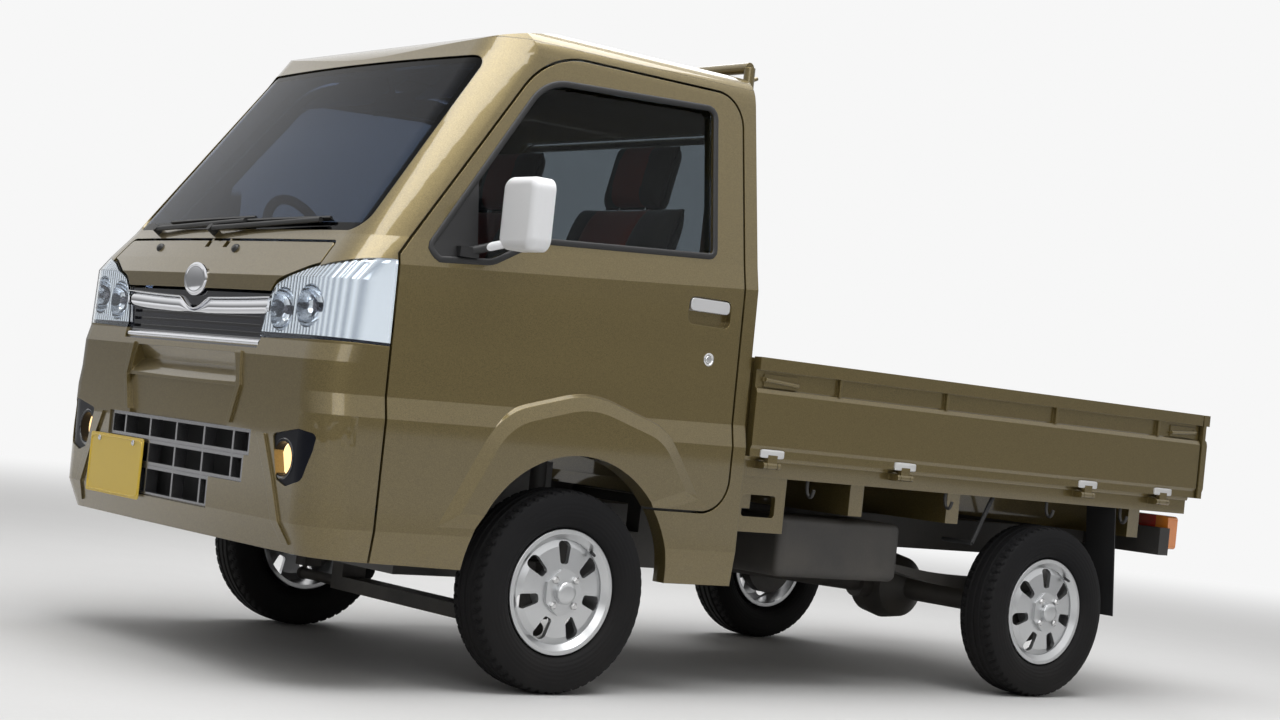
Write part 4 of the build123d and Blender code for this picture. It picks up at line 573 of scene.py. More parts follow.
LENS, tree, shader = lamp_glass("lens_clear", (0.93, 0.96, 0.98, 1.0), 0.02, 1.2)
FOG_X, FOG_Z, FOG_FACE = 562.0, 553.0, -1.674
NO_GLOW, FOG_GLOW = (0.0, 0.0, 0.0, 1.0), (1.0, 0.66, 0.30, 1.0)
fog_zone = patch(tree, (FOG_X, -1650, FOG_Z), (60, 90, 60))
feed(tree, shader, Emission_Color=mixed(tree, fog_zone, NO_GLOW, FOG_GLOW))
preset(shader, Emission_Strength=0.9)
wear(LENS, "lamp_lenses")
REFLECTOR, tree, shader = blank("lamp_reflector")
# Painted highlight on each flute's crest and painted shade in its trough, drawn by the same wave as its bump
FLUTE_PAINTED_SHADE, FLUTE_PAINTED_HIGHLIGHT = (0.46, 0.49, 0.54, 1.0), (0.80, 0.83, 0.87, 1.0)
SILL_DARK, BEZEL_BLACK = (0.02, 0.022, 0.03, 1.0), (0.012, 0.013, 0.018, 1.0)
bezel = patch(tree, (600, -1600, 550), (140, 140, 110))
sill = patch(tree, (560, -1600, 845), (260, 140, 14))
place, flutes, relief = added(tree, "TexCoord", "TexWave", "Bump")
flutes.wave_profile = "SIN"
preset(flutes, Scale=22.0)
preset(relief, Distance=3 * MM)
preset(shader, Metallic=0.95)
wire(tree, (place, "Object", flutes, "Vector"), (flutes, "Fac", relief, "Height"),
     (relief, "Normal", shader, "Normal"))
# Painted highlight and shade along the flutes, then the dark sill and the black bezel
bright = mixed(tree, flutes.outputs["Fac"], FLUTE_PAINTED_SHADE, FLUTE_PAINTED_HIGHLIGHT)
bowl = mixed(tree, bezel, mixed(tree, sill, bright, SILL_DARK), BEZEL_BLACK)
feed(tree, shader, Base_Color=bowl, Roughness=ranged(tree, bezel, 0.10, 0.35))
feed(tree, relief, Strength=ranged(tree, bezel, 0.5, 0.0))
wear(REFLECTOR, "lamp_housings")
AMBER = finish("amber_lens", (0.85, 0.22, 0.02), 0.1, 200, 0.1, 0.0, Coat_Weight=1.0)
SHADE = finish("bulb_shade", (0.10, 0.10, 0.12), 0.25, 300, 0.1, 0.02, Metallic=0.9)
BULB = ((0, 0), (0, 9), (22, 9), (30, 12), (44, 12), (50, 9), (52, 0))
BULBS_AT = ((462, -1612, 918), (584, -1602, 930))
CORNER_BULB = ((0, 0), (0, 6), (10, 10), (20, 11), (28, 8), (32, 0))
CORNER_X, CORNER_Y, CORNER_Z = 0.650, -1.560, 0.996
FOG_RING = ((0, 52), (6, 52), (8, 49), (6, 45), (0, 43), (-12, 42.5))
shades = [revolved(BULB, (s * x * MM, y * MM, z * MM), (s * 0.1, -1, 0), 28)
          for s in (1, -1) for x, y, z in BULBS_AT]
piece("bulb_shades", shades, "chassis", SHADE, TUBE)
corners = [revolved(CORNER_BULB, (s * CORNER_X, CORNER_Y, CORNER_Z), (s * 0.5, -1, 0.1), 24) for s in (1, -1)]
piece("corner_bulbs", corners, "chassis", AMBER, TUBE)
rings = [revolved(FOG_RING, (s * FOG_X * MM, FOG_FACE, FOG_Z * MM), (0, -1, 0), 48) for s in (1, -1)]
piece("fog_rings", rings, "chassis", GRILLE_DARK, TUBE)


# Glass
# A laminated windscreen with a black printed border and a shade band, and toughened door and rear windows.
# All are tinted, and bonded or run in rubber.
WINDOW_IOR = 1.18
SIDE_GLASS, _, _ = lamp_glass("side_glass", (0.34, 0.37, 0.38, 1.0), 0.0, WINDOW_IOR)
wear(SIDE_GLASS, "door_glass_left", "door_glass_right")
REAR_GLASS, _, _ = lamp_glass("rear_glass", (0.22, 0.25, 0.28, 1.0), 0.0, WINDOW_IOR)
wear(REAR_GLASS, "rear_window")
SCREEN_TINT, BAND_TINT, PRINT = (0.09, 0.12, 0.19, 1.0), (0.03, 0.05, 0.10, 1.0), (0.004, 0.004, 0.005, 1.0)
FOOT_X, FOOT_Z, HEAD_X, HEAD_Z, PRINT_WIDTH = 618.0, 1128.0, 560.0, 1634.0, 22.0
BAND_LOW, BAND_TOP = 1.40, 1.62
SCREEN_GLASS, tree, shader = lamp_glass("screen_glass", SCREEN_TINT, 0.0, WINDOW_IOR)
lean = (FOOT_X - HEAD_X) / (HEAD_Z - FOOT_Z)
place, split, band = added(tree, "TexCoord", "SeparateXYZ", "MapRange")
side_way, side_sum, side_edge, ends = added(tree, "Math", "Math", "Math", "Math")
side_way.operation, side_sum.operation = "ABSOLUTE", "MULTIPLY_ADD"
side_edge.operation, ends.operation = "GREATER_THAN", "COMPARE"
side_sum.inputs[1].default_value = lean
side_edge.inputs[1].default_value = (FOOT_X + lean * FOOT_Z - PRINT_WIDTH) * MM
ends.inputs[1].default_value = (FOOT_Z + HEAD_Z) / 2 * MM
ends.inputs[2].default_value = ((HEAD_Z - FOOT_Z) / 2 - PRINT_WIDTH) * MM
preset(band, From_Min=BAND_LOW, From_Max=BAND_TOP)
wire(tree, (place, "Object", split, 0), (split, "X", side_way, 0), (split, "Z", side_sum, 0),
     (side_way, 0, side_sum, 2), (side_sum, 0, side_edge, 0), (split, "Z", ends, 0),
     (split, "Z", band, "Value"))
tint = mixed(tree, band.outputs["Result"], SCREEN_TINT, BAND_TINT)
tint = mixed(tree, ends.outputs[0], PRINT, tint)
tint = mixed(tree, side_edge.outputs[0], tint, PRINT)
feed(tree, shader, Base_Color=tint)
wear(SCREEN_GLASS, "windscreen")


# Doors
# Pressed shells hung at the front on two hinges, with a pull handle in a pocket and a lock below it.
# Each window runs in a black rubber seal, and the inside is closed by a moulded card with a winder.
def accent(made, colour, centre, half):
    """Lays another colour into a material inside a box, given in millimetres by its centre and half size."""
    tree = made.node_tree
    socket = tree.nodes["Principled BSDF"].inputs["Base Color"]
    before = socket.links[0].from_socket
    tree.links.new(mixed(tree, patch(tree, centre, half), before, colour + (1.0,)), socket)


HANDLE_Y, HANDLE_Z = -497.0, 1064.0
DOOR_ENAMEL = enamel("door_enamel")
accent(DOOR_ENAMEL, (0.72, 0.72, 0.73), (700, HANDLE_Y, HANDLE_Z), (60, 69, 17))
wear(DOOR_ENAMEL, "door_left", "door_right")


def outline(rows, arc_steps=10):
    """A closed path through corner rows (a, b, radius): each corner becomes an arc that meets both sides."""
    rows = np.asarray(rows, float)
    runs = []
    for (a, b, r), last, following in zip(rows, np.roll(rows, 1, 0), np.roll(rows, -1, 0)):
        corner = np.array((a, b))
        back, on = last[:2] - corner, following[:2] - corner
        back, on = back / np.linalg.norm(back), on / np.linalg.norm(on)
        half = np.arccos(np.clip(back @ on, -1, 1)) / 2
        centre = corner + (back + on) / np.linalg.norm(back + on) * r / np.sin(half)
        start, end = corner + back * r / np.tan(half) - centre, corner + on * r / np.tan(half) - centre
        first = np.arctan2(start[1], start[0])
        sweep = (np.arctan2(end[1], end[0]) - first + np.pi) % (2 * np.pi) - np.pi
        t = first + sweep * np.linspace(0, 1, arc_steps)
        runs.append(centre + r * np.stack([np.cos(t), np.sin(t)], axis=1))
    return np.vstack(runs)


def evenly(path, step):
    """A closed path stepped off at even distances along itself."""
    closed = np.vstack([path, path[:1]])
    reach = np.concatenate([[0], np.cumsum(np.linalg.norm(np.diff(closed, axis=0), axis=1))])
    stops = np.linspace(0, reach[-1], int(reach[-1] / step), endpoint=False)
    return np.stack([np.interp(stops, reach, closed[:, k]) for k in range(closed.shape[1])], axis=1)


def grown(path, room):
    """A closed flat path moved outwards by a distance, square to itself."""
    ahead = np.roll(path, -1, 0) - np.roll(path, 1, 0)
    ahead = ahead / np.linalg.norm(ahead, axis=1, keepdims=True)
    area = np.sum(path[:, 0] * np.roll(path[:, 1], -1) - np.roll(path[:, 0], -1) * path[:, 1])
    return path + np.sign(area) * room * np.stack([ahead[:, 1], -ahead[:, 0]], axis=1)


def flipped(grid):
    """The same piece on the truck's other side."""
    return grid * np.array((-1.0, 1.0, 1.0))


def thick(sheet, depth):
    """Gives an open sheet a thickness, half of it to each side."""
    skin = sheet.modifiers.new("thickness", "SOLIDIFY")
    skin.thickness, skin.offset = depth, 0.0


HANDS = (("left", lambda grid: grid), ("right", flipped))
# Corner rows of the window in millimetres: y, z, radius
WINDOW = ((-1412, 1108, 14), (-1385, 1082, 14), (-1225, 1094, 80), (-1080, 1168, 80),
          (-486, 1202, 20), (-480, 1612, 25), (-1062, 1588, 150))
BESIDE = 1.2
SEAL_STEP, SEAL_SEAT, SEAL_ROOM, SEAL_LIFT, SEAL_RADIUS, SEAL_FLAT = 0.012, 0.004, 0.001, 0.0005, 0.0085, 0.42
window = evenly(outline(WINDOW) * MM, SEAL_STEP)
seal_x = skin_points("door_left", xyz(BESIDE, *grown(window, SEAL_SEAT).T), (-1, 0, 0))[:, 0]
seal = xyz(seal_x + SEAL_LIFT, *grown(window, SEAL_ROOM).T)
seal_grid = swept(seal, round_section(SEAL_RADIUS, 12, SEAL_FLAT), (1, 0, 0), True)
LOCK_Y, LOCK_Z, LOCK_SINK = -0.487, 0.919, 0.0005
LOCK_PROFILE = ((0, 0), (0, 18), (3, 18), (4.5, 15), (3, 12), (1.5, 11), (3.5, 9), (4, 0))
lock_x = skin_points("door_left", xyz(BESIDE, LOCK_Y, LOCK_Z), (-1, 0, 0))[0]
lock_grid = revolved(LOCK_PROFILE, (lock_x - LOCK_SINK, LOCK_Y, LOCK_Z), (1, 0, 0), 40)
CARD_PLASTIC = finish("card_plastic", (0.16, 0.155, 0.15), 0.6, 900, 0.08, 0.25)
CARD_TOP_Y, CARD_TOP_Z = (-1.325, -1.2, -1.05, -0.445), (1.052, 1.058, 1.125, 1.158)
CARD_LOW, CARD_STAND, CARD_SHEET = 0.690, 0.006, 0.003
REST_RISE, PANEL_SINK = 0.024, 0.004
card_y = np.linspace(CARD_TOP_Y[0], CARD_TOP_Y[-1], 67)
card_top = np.interp(card_y, CARD_TOP_Y, CARD_TOP_Z)
card_z = CARD_LOW + (card_top - CARD_LOW)[:, None] * np.linspace(0, 1, 41)[None, :]
card = skin_points("door_left", xyz(0.0, card_y[:, None], card_z), (1, 0, 0))


def ridge(y, half_y, end_power, z, half_z, edge_power):
    """A blunt ridge on the card: one along its middle, and nothing past its half height or half length."""
    ends = np.clip(1 - np.abs((card_y[:, None] - y) / half_y) ** end_power, 0, 1)
    return np.exp(-((card_z - z) / half_z) ** edge_power) * ends


arm_rest, panel = ridge(-0.80, 0.26, 6, 0.915, 0.030, 4), ridge(-0.86, 0.34, 8, 0.80, 0.060, 6)
card_x = np.median(card[..., 0], axis=0)[None, :] - CARD_STAND
card[..., 0] = card_x - REST_RISE * arm_rest + PANEL_SINK * panel
WINDER_Y, WINDER_Z, WINDER_ROW, WINDER_SINK = -0.985, 0.885, 33, 0.002
WINDER_HUB = ((0, 0), (0, 20), (8, 19), (14, 14), (15, 0))
WINDER_GRIP = ((0, 0), (0, 9), (6, 10), (22, 9), (25, 0))
KNOB_FROM_HUB, ARM_FROM_HUB = np.array((-0.026, 0.075, -0.055)), np.array((-0.010, 0, 0))
winder_x = np.interp(WINDER_Z, card_z[WINDER_ROW], card[WINDER_ROW, :, 0]) + WINDER_SINK
winder_at = np.array((winder_x, WINDER_Y, WINDER_Z))
winder_knob = winder_at + KNOB_FROM_HUB
winder_hub = revolved(WINDER_HUB, winder_at, (-1, 0, 0), 28)
winder_grip = revolved(WINDER_GRIP, winder_knob, (-1, 0, 0), 24)
winder_way = np.linspace(winder_at + ARM_FROM_HUB, winder_knob, 12)
winder_arm = swept(winder_way, round_section(0.007, 12, 0.55), (1, 0, 0))
for hand, turn_over in HANDS:
    body = f"door_{hand}_body"
    piece(f"window_seal_{hand}", [turn_over(seal_grid)], body, BLACK_RUBBER, LOOP)
    piece(f"door_lock_{hand}", [turn_over(lock_grid)], body, BRIGHT_STEEL, TUBE)
    thick(piece(f"door_card_{hand}", [turn_over(card)], body, CARD_PLASTIC), CARD_SHEET)
    piece(f"winder_hub_{hand}", [turn_over(winder_hub), turn_over(winder_grip)], body, BLACK_RUBBER, TUBE)
    piece(f"winder_arm_{hand}", [turn_over(winder_arm)], body, CARD_PLASTIC, TUBE)


# Door mirrors
# A black sail plate and stalk, a white moulded shell, and a silvered glass in the face that looks back.
MIRROR_SHELL = finish("mirror_shell", (0.015, 0.015, 0.016), 0.4, 500, 0.15, 0.06)
accent(MIRROR_SHELL, (0.80, 0.81, 0.83), (890, -1212, 1217), (152, 70, 110))
wear(MIRROR_SHELL, "door_mirror_left", "door_mirror_right")
MIRROR_GLASS = finish("mirror_glass", (0.86, 0.87, 0.88), 0.03, 300, 0.02, 0.0, Metallic=1.0)
MIRROR_AT = np.array((0.812, -1.1805, 1.217))
MIRROR_X, MIRROR_Z, MIRROR_ROUND = 0.064, 0.081, 0.35
# Share of the half size and rise, from the middle of the glass to the outside of its lip
MIRROR_RINGS = ((0.0, 0.0005), (0.5, 0.0005), (0.9, 0.0005), (0.955, 0.003), (1.0, 0.003), (1.03, 0.0),
                (1.03, -0.004))
GLASS_RINGS = 3
lip_x, lip_z = squircle(96, MIRROR_X, MIRROR_Z, MIRROR_ROUND)
pane = np.stack([MIRROR_AT + xyz(share * lip_x, rise, share * lip_z) for share, rise in MIRROR_RINGS])
for hand, turn_over in HANDS:
    body = f"door_{hand}_body"
    piece(f"mirror_pane_{hand}", [turn_over(pane[:GLASS_RINGS])], body, MIRROR_GLASS, TUBE)
    piece(f"mirror_lip_{hand}", [turn_over(pane[GLASS_RINGS - 1:])], body, BLACK_RUBBER, TUBE)


# Seats
# Two separate seats: foam cushions, backs and head rests in woven cloth with a red-brown middle.
# Each pad is crowned, pulled in between its corners, with sewn channels and a welt round its seam.
def woven(name, colour):
    """Cloth: two crossed waves make the weave, which shades the colour and lifts the surface, and a sheen."""
    made, tree, shader = blank(name)
    place, weave, relief = added(tree, "TexCoord", "Math", "Bump")
    weave.operation = "MULTIPLY"
    for entry, direction in enumerate(("X", "DIAGONAL")):
        wave = tree.nodes.new("ShaderNodeTexWave")
        wave.bands_direction = direction
        preset(wave, Scale=160.0, Distortion=0.6)
        wire(tree, (place, "Object", wave, "Vector"), (wave, "Fac", weave, entry))
    low = tuple(c * 0.6 for c in colour) + (1.0,)
    high = tuple(min(1.0, c * 1.25) for c in colour) + (1.0,)
    feed(tree, shader, Base_Color=mixed(tree, weave.outputs[0], low, high))
    preset(relief, Strength=0.5, Distance=1.2 * MM)
    preset(shader, Roughness=0.9, Sheen_Weight=0.4)
    wire(tree, (weave, 0, relief, "Height"), (relief, "Normal", shader, "Normal"))
    return made


SEAT_CLOTH, SEAT_RED = woven("seat_cloth", (0.075, 0.065, 0.06)), woven("seat_red", (0.34, 0.05, 0.03))
WELT = finish("seat_welt", (0.03, 0.028, 0.028), 0.7, 500, 0.1, 0.2)
PAD_STEPS, PAD_SQUARE, PAD_ROUND = 65, 7, 0.42
DRAWN_X, DRAWN_Y = 0.035, 0.025
SEAM_WIDTH, SEAM_DEPTH, SEAM_END = 0.022, 0.007, 0.93


def pad(width, length, depth, crown, channels):
    """A stuffed pad: top and bottom sheets over a square of (s, t), each off the seam by a blunt arch of s
    times one of t. The top has a crown and sewn channels, and the sides draw in between the corners."""
    ease = np.sin(np.linspace(-np.pi / 2, np.pi / 2, PAD_STEPS))
    s, t = ease[:, None], ease[None, :]
    arch = (1 - np.abs(s) ** PAD_SQUARE) ** PAD_ROUND * (1 - np.abs(t) ** PAD_SQUARE) ** PAD_ROUND
    x = width / 2 * s * (1 - DRAWN_X * (1 - t ** 2))
    y = length / 2 * t * (1 - DRAWN_Y * (1 - s ** 2))
    sewn = sum(np.exp(-((s - c) / SEAM_WIDTH) ** 2) for c in channels) * (np.abs(t) < SEAM_END)
    swell = crown * (1 - s ** 2) * (1 - t ** 2)
    top = xyz(x, y, depth / 2 * arch + swell * arch - SEAM_DEPTH * sewn * arch)
    return top, xyz(x, y, -depth / 2 * arch)


def turned(grid, centre, pitch):
    """A pad tipped about the cross axis by a pitch in degrees, then carried to its centre."""
    c, s = math.cos(math.radians(pitch)), math.sin(math.radians(pitch))
    tip = np.array(((1, 0, 0), (0, c, -s), (0, s, c)))
    return grid @ tip.T + np.asarray(centre)


# name, width, length, depth, crown, channels, centre y, centre z, pitch
PADS = (
    ("cushion", 0.490, 0.490, 0.140, 0.022, (-0.5, 0.5), -0.945, 0.732, -4.5),
    ("back", 0.455, 0.560, 0.115, 0.020, (-0.5, 0.5), -0.592, 1.062, 71.7),
    ("head", 0.250, 0.185, 0.085, 0.010, (), -0.481, 1.424, 77.0),
)
SEAT_X, RED_SHARE, WELT_RADIUS = 0.330, 0.26, 0.004
STALKS_X, STALK_FOOT, STALK_TOP, STALK_RADIUS = (-0.06, 0.06), (-0.515, 1.300), (-0.490, 1.400), 0.006
for hand, side in SIDES:
    for name, width, length, depth, crown, channels, y, z, pitch in PADS:
        sheets = pad(width, length, depth, crown, channels)
        centre = (side * SEAT_X, y, z)
        stuffed = piece(f"seat_{name}_{hand}", [turned(sheet, centre, pitch) for sheet in sheets], "chassis",
                        SEAT_CLOTH)
        if name == "cushion":
            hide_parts(f"seat_{hand}")
        else:
            stuffed.data.materials.append(SEAT_RED)
            middle = np.zeros(len(stuffed.data.polygons), np.int32)
            centres = np.zeros(len(middle) * 3)
            stuffed.data.polygons.foreach_get("center", centres)
            middle[np.abs(centres[::3] - side * SEAT_X) < width * RED_SHARE] = 1
            stuffed.data.polygons.foreach_set("material_index", middle)
        top = sheets[0]
        edge = np.vstack([top[:, 0], top[-1, 1:], top[-2::-1, -1], top[0, -2:0:-1]])
        welt = swept(turned(edge, centre, pitch), round_section(WELT_RADIUS, 8),
                     turned(np.array((0.0, 0.0, 1.0)), (0, 0, 0), pitch), True)
        piece(f"seat_welt_{name}_{hand}", [welt], "chassis", WELT, LOOP)
    stalks_x = [side * SEAT_X + x for x in STALKS_X]
    stalks = [np.linspace((x, *STALK_FOOT), (x, *STALK_TOP), 8) for x in stalks_x]
    piece(f"head_stalks_{hand}", [swept(way, round_section(STALK_RADIUS), (1, 0, 0)) for way in stalks],
          "chassis", BRIGHT_STEEL, TUBE)


# Cab interior
# Moulded dash and steering wheel in grained plastic, a pressed floor under a rubber mat, a pale head lining,
# sun visors, an inside mirror and the gear lever.
CABIN_PLASTIC = finish("cabin_plastic", (0.055, 0.055, 0.058), 0.62, 900, 0.1, 0.3)
wear(CABIN_PLASTIC, "dashboard", "steering_wheel")
wear(finish("floor_mat", (0.03, 0.03, 0.031), 0.8, 350, 0.2, 0.5), "cab_floor")
LINING = finish("head_lining", (0.55, 0.53, 0.49), 0.85, 1200, 0.05, 0.3)
LINING_HALF, LINING_FRONT, LINING_REAR, LINING_STEPS = 0.50, -1.08, -0.40, 41
LINING_FROM, LINING_DROP, LINING_SHEET = 1.45, 0.004, 0.002
line_x = np.linspace(-LINING_HALF, LINING_HALF, LINING_STEPS)[:, None]
line_y = np.linspace(LINING_FRONT, LINING_REAR, LINING_STEPS)
lining = skin_points("cab_roof", xyz(line_x, line_y, LINING_FROM), (0, 0, 1))
lining[..., 2] -= LINING_DROP
thick(piece("head_lining", [lining], "chassis", LINING), LINING_SHEET)
VISOR, VISOR_X, VISOR_Y, VISOR_Z, VISOR_PITCH = pad(0.40, 0.15, 0.020, 0.0, ()), 0.31, -1.075, 1.600, 40
for hand, side in SIDES:
    sheets = [turned(sheet, (side * VISOR_X, VISOR_Y, VISOR_Z), VISOR_PITCH) for sheet in VISOR]
    piece(f"sun_visor_{hand}", sheets, "chassis", LINING)
MIRROR_PAD, INSIDE_MIRROR_AT, INSIDE_MIRROR_PITCH = pad(0.215, 0.062, 0.026, 0.0, ()), (0, -1.125, 1.545), 84
piece("inside_mirror", [turned(sheet, INSIDE_MIRROR_AT, INSIDE_MIRROR_PITCH) for sheet in MIRROR_PAD],
      "chassis", CABIN_PLASTIC)
ROD = round_section(0.008)
stalk = np.linspace((0, -1.130, 1.555), (0, -1.155, 1.620), 8)
piece("mirror_stalk", [swept(stalk, ROD, (1, 0, 0))], "chassis", CABIN_PLASTIC, TUBE)
LEVER = ((-0.05, -1.30, 0.44), (-0.05, -1.32, 0.60), (-0.06, -1.22, 0.74), (-0.06, -1.20, 0.80))
lever = eased(LEVER)
piece("gear_lever", [swept(lever, ROD, (1, 0, 0))], "chassis", BRIGHT_STEEL, TUBE)
KNOB = ((0, 0), (0, 9), (10, 18), (26, 23), (40, 18), (48, 0))
KNOB_SINK = np.array((0, 0, 0.006))
BOOT = ((0, 0), (0, 62), (14, 50), (22, 54), (32, 40), (40, 44), (52, 26), (60, 28), (74, 12), (74, 0))
BOOT_AT = (-0.05, -1.305, 0.4335)
knob, boot = revolved(KNOB, lever[-1] - KNOB_SINK, (0, 0.1, 1)), revolved(BOOT, BOOT_AT, (0, 0, 1), 36)
piece("gear_knob", [knob, boot], "chassis", BLACK_RUBBER, TUBE)
# Dial hood: middle, half width and height at its mouth, and what each loses towards the screen
DIAL_X, DIAL_Y, DIAL_Z, DIAL_REACH, DIAL_SHEET = -0.33, -1.375, 1.070, 0.11, 0.006
DIAL_HALF, DIAL_TAPER, DIAL_HIGH, DIAL_DROP = 0.17, 0.25, 0.075, 0.045
dial_t, dial_s = np.linspace(0, np.pi, 33)[:, None], np.linspace(0, 1, 9)
dial_hood = xyz(DIAL_X + DIAL_HALF * np.cos(dial_t) * (1 - DIAL_TAPER * dial_s), DIAL_Y - DIAL_REACH * dial_s,
                DIAL_Z + (DIAL_HIGH - DIAL_DROP * dial_s) * np.sin(dial_t))
thick(piece("dial_hood", [dial_hood], "chassis", CABIN_PLASTIC), DIAL_SHEET)
VENT = ((0, 0), (0, 30), (8, 40), (12, 38), (4, 32), (3, 10), (8, 8), (9, 0))
VENTS_X, VENT_Y, VENT_Z = (-0.53, -0.10, 0.10, 0.53), -1.372, 1.005
vents = [revolved(VENT, (x, VENT_Y, VENT_Z), (0, 1, 0.15), 36) for x in VENTS_X]
piece("dash_vents", vents, "chassis", BLACK_RUBBER, TUBE)


# Wipers and washers
# Two black arms on spindles below the screen, each with a rubber blade in a carrier.
# Two washer caps sit on the lid, and a short aerial on the right pillar.
WIPER_BLACK = finish("wiper_black", (0.012, 0.012, 0.012), 0.45, 500, 0.15, 0.05)
wear(WIPER_BLACK, "wipers")
BLADES = ((-0.37, 0.115), (-0.01, 0.475))
BLADE_SECTION = np.array(((-3, 9), (3, 9), (4, 4), (2, 0), (0.8, -7), (-0.8, -7), (-2, 0), (-4, 4))) * MM
BLADE_Z, BLADE_CLIMB, BLADE_STAND = 1.146, 0.012, 0.0075
OFF_SCREEN = (0, -0.8, 0.6)
blades = []
for near, far in BLADES:
    x = np.linspace(near, far, 40)
    z = BLADE_Z + BLADE_CLIMB * (x - near) / (far - near)
    way = xyz(x, in_front("windscreen", x, z) - BLADE_STAND, z)
    blades.append(swept(way, BLADE_SECTION, OFF_SCREEN))
piece("wiper_blades", blades, "chassis", WIPER_BLACK, TUBE)
CAP = ((0, 0), (0, 13), (5, 12), (9, 8), (10, 0))
CAPS_X, CAP_Z, CAP_SINK = (-0.330, 0.116), 1.072, 0.001
caps = [revolved(CAP, (x, in_front("hood", x, CAP_Z) + CAP_SINK, CAP_Z), OFF_SCREEN, 24) for x in CAPS_X]
piece("washer_caps", caps, "hood_body", WIPER_BLACK, TUBE)
PILLAR_AERIAL = ((-0.707, -1.335, 1.260), (-0.697, -1.270, 1.345), (-0.672, -1.140, 1.520))
piece("pillar_aerial", [swept(eased(PILLAR_AERIAL, 2), round_section(0.007, 10), (1, 0, 0))], "chassis",
      WIPER_BLACK, TUBE)


# Bed
# A pressed deck with long beads, and drop sides with bright hinge covers and a lip down to the deck's edge.
# The hinge covers' pale colour is partly a painted highlight. Rope hooks hang under the side rails.
DECK_TOP, DECK_HALF, DECK_FRONT, DECK_REAR = 0.660, 0.690, -0.288, 1.646
BEAD_PITCH, BEAD_MIDDLE, BEAD_SLOPE, BEAD_LIFT, BEAD_RISE = 0.116, 0.5, 1.4, 0.0006, 0.0045
BEADS_FROM, BEADS_TO, BEAD_RUN = 0.25, 1.60, 0.04
bead_x, bead_y = np.linspace(-DECK_HALF, DECK_HALF, 346)[:, None], np.linspace(DECK_FRONT, DECK_REAR, 30)
bead_wave = np.clip(BEAD_MIDDLE + BEAD_SLOPE * np.cos(2 * np.pi * bead_x / BEAD_PITCH), 0, 1)
bead_ends = np.clip(np.minimum(bead_y + BEADS_FROM, BEADS_TO - bead_y) / BEAD_RUN, 0, 1)
beads = xyz(bead_x, bead_y, DECK_TOP + BEAD_LIFT + BEAD_RISE * bead_wave * bead_ends)
piece("deck_beads", [beads], "chassis", CAB_ENAMEL)
# Bright hinge covers: their pale colour is partly the metal's own and partly a painted highlight
HINGE_PALE_PAINTED_HIGHLIGHT = finish("hinge_cover", (0.66, 0.66, 0.66), 0.35, 500, 0.06, 0.08, Metallic=0.3)
HINGES_Y, COVER_Z, COVER_SINK = (-0.235, 0.293, 1.117, 1.493), 0.679, 0.007
COVER_HALF_Y, COVER_HALF_Z, COVER_ROUND = 0.044, 0.012, 0.3
# Share of the half size and height, from the middle of the cover to its foot
COVER_RINGS = ((0.0, 0.004), (0.7, 0.004), (0.88, 0.0032), (1.0, 0.001), (1.0, -0.003))
cover_y, cover_z = squircle(72, COVER_HALF_Y, COVER_HALF_Z, COVER_ROUND)
GATE_INNER, GATE_OUTER = (corner[0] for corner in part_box("gate_left"))


def hinge_cover(y):
    """A shallow rounded lid on the drop side's lower edge: rings of one outline at rising heights."""
    foot = GATE_OUTER - COVER_SINK
    return np.stack([xyz(foot + out, y + size * cover_y, COVER_Z + size * cover_z)
                     for size, out in COVER_RINGS])


covers = [hinge_cover(y) for y in HINGES_Y]
HOOKS_Y, HOOK_RADIUS = (-0.05, 0.52, 0.98, 1.34), 0.005
HOOK = np.array(((0.688, 0, 0.616), (0.688, 0, 0.585), (0.697, 0, 0.567), (0.711, 0, 0.567),
                 (0.718, 0, 0.588)))
hooks = [swept(eased(HOOK + np.array((0, y, 0))), round_section(HOOK_RADIUS, 10), (0, 1, 0)) for y in HOOKS_Y]
# Drop side lip: distance in from the inner face, where REACH is as far as the deck allows, and height
REACH = 1.0
GATE_LIP = np.array(((0.0001, 0.692), (0.0023, 0.690), (0.0023, 0.665), (REACH, 0.660), (REACH, 0.6572),
                     (0.0040, 0.6572), (0.0001, 0.664)))
LIP_ROOM = 0.0018
DECK_EDGE, DECK_TAIL = 0.6995, 1.6555


def lip_section(face, edge):
    """The lip's section against an inner face: it hugs the face, then kicks in to just short of the deck."""
    inward = np.where(GATE_LIP[:, 0] == REACH, face - edge - LIP_ROOM, GATE_LIP[:, 0])
    return face - inward, GATE_LIP[:, 1]


def capped(rings):
    """A row of rings closed at both ends by a last ring that shrinks to its own middle."""
    ends = [np.repeat(ring.mean(axis=0, keepdims=True), len(ring), axis=0) for ring in (rings[0], rings[-1])]
    return np.stack([ends[0], *rings, ends[1]])


lip_x, lip_z = lip_section(GATE_INNER, DECK_EDGE)
lip_ends = (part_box("gate_left")[0][1] + LIP_ROOM, DECK_TAIL)
side_lip = capped([xyz(lip_x, y, lip_z) for y in lip_ends])
lip_y, lip_z = lip_section(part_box("gate_tail")[0][1], DECK_TAIL)
tail_lip = capped([xyz(x, lip_y, lip_z) for x in (-DECK_EDGE, DECK_EDGE)])
piece("gate_lip_tail", [tail_lip], "gate_tail_body", CAB_ENAMEL, TUBE)
for hand, turn_over in HANDS:
    body = f"gate_{hand}_body"
    piece(f"gate_lip_{hand}", [turn_over(side_lip)], body, CAB_ENAMEL, TUBE)
    piece(f"hinge_covers_{hand}", [turn_over(grid) for grid in covers], body, HINGE_PALE_PAINTED_HIGHLIGHT, TUBE)
    piece(f"rope_hooks_{hand}", [turn_over(grid) for grid in hooks], "chassis", CHASSIS_BLACK, TUBE)


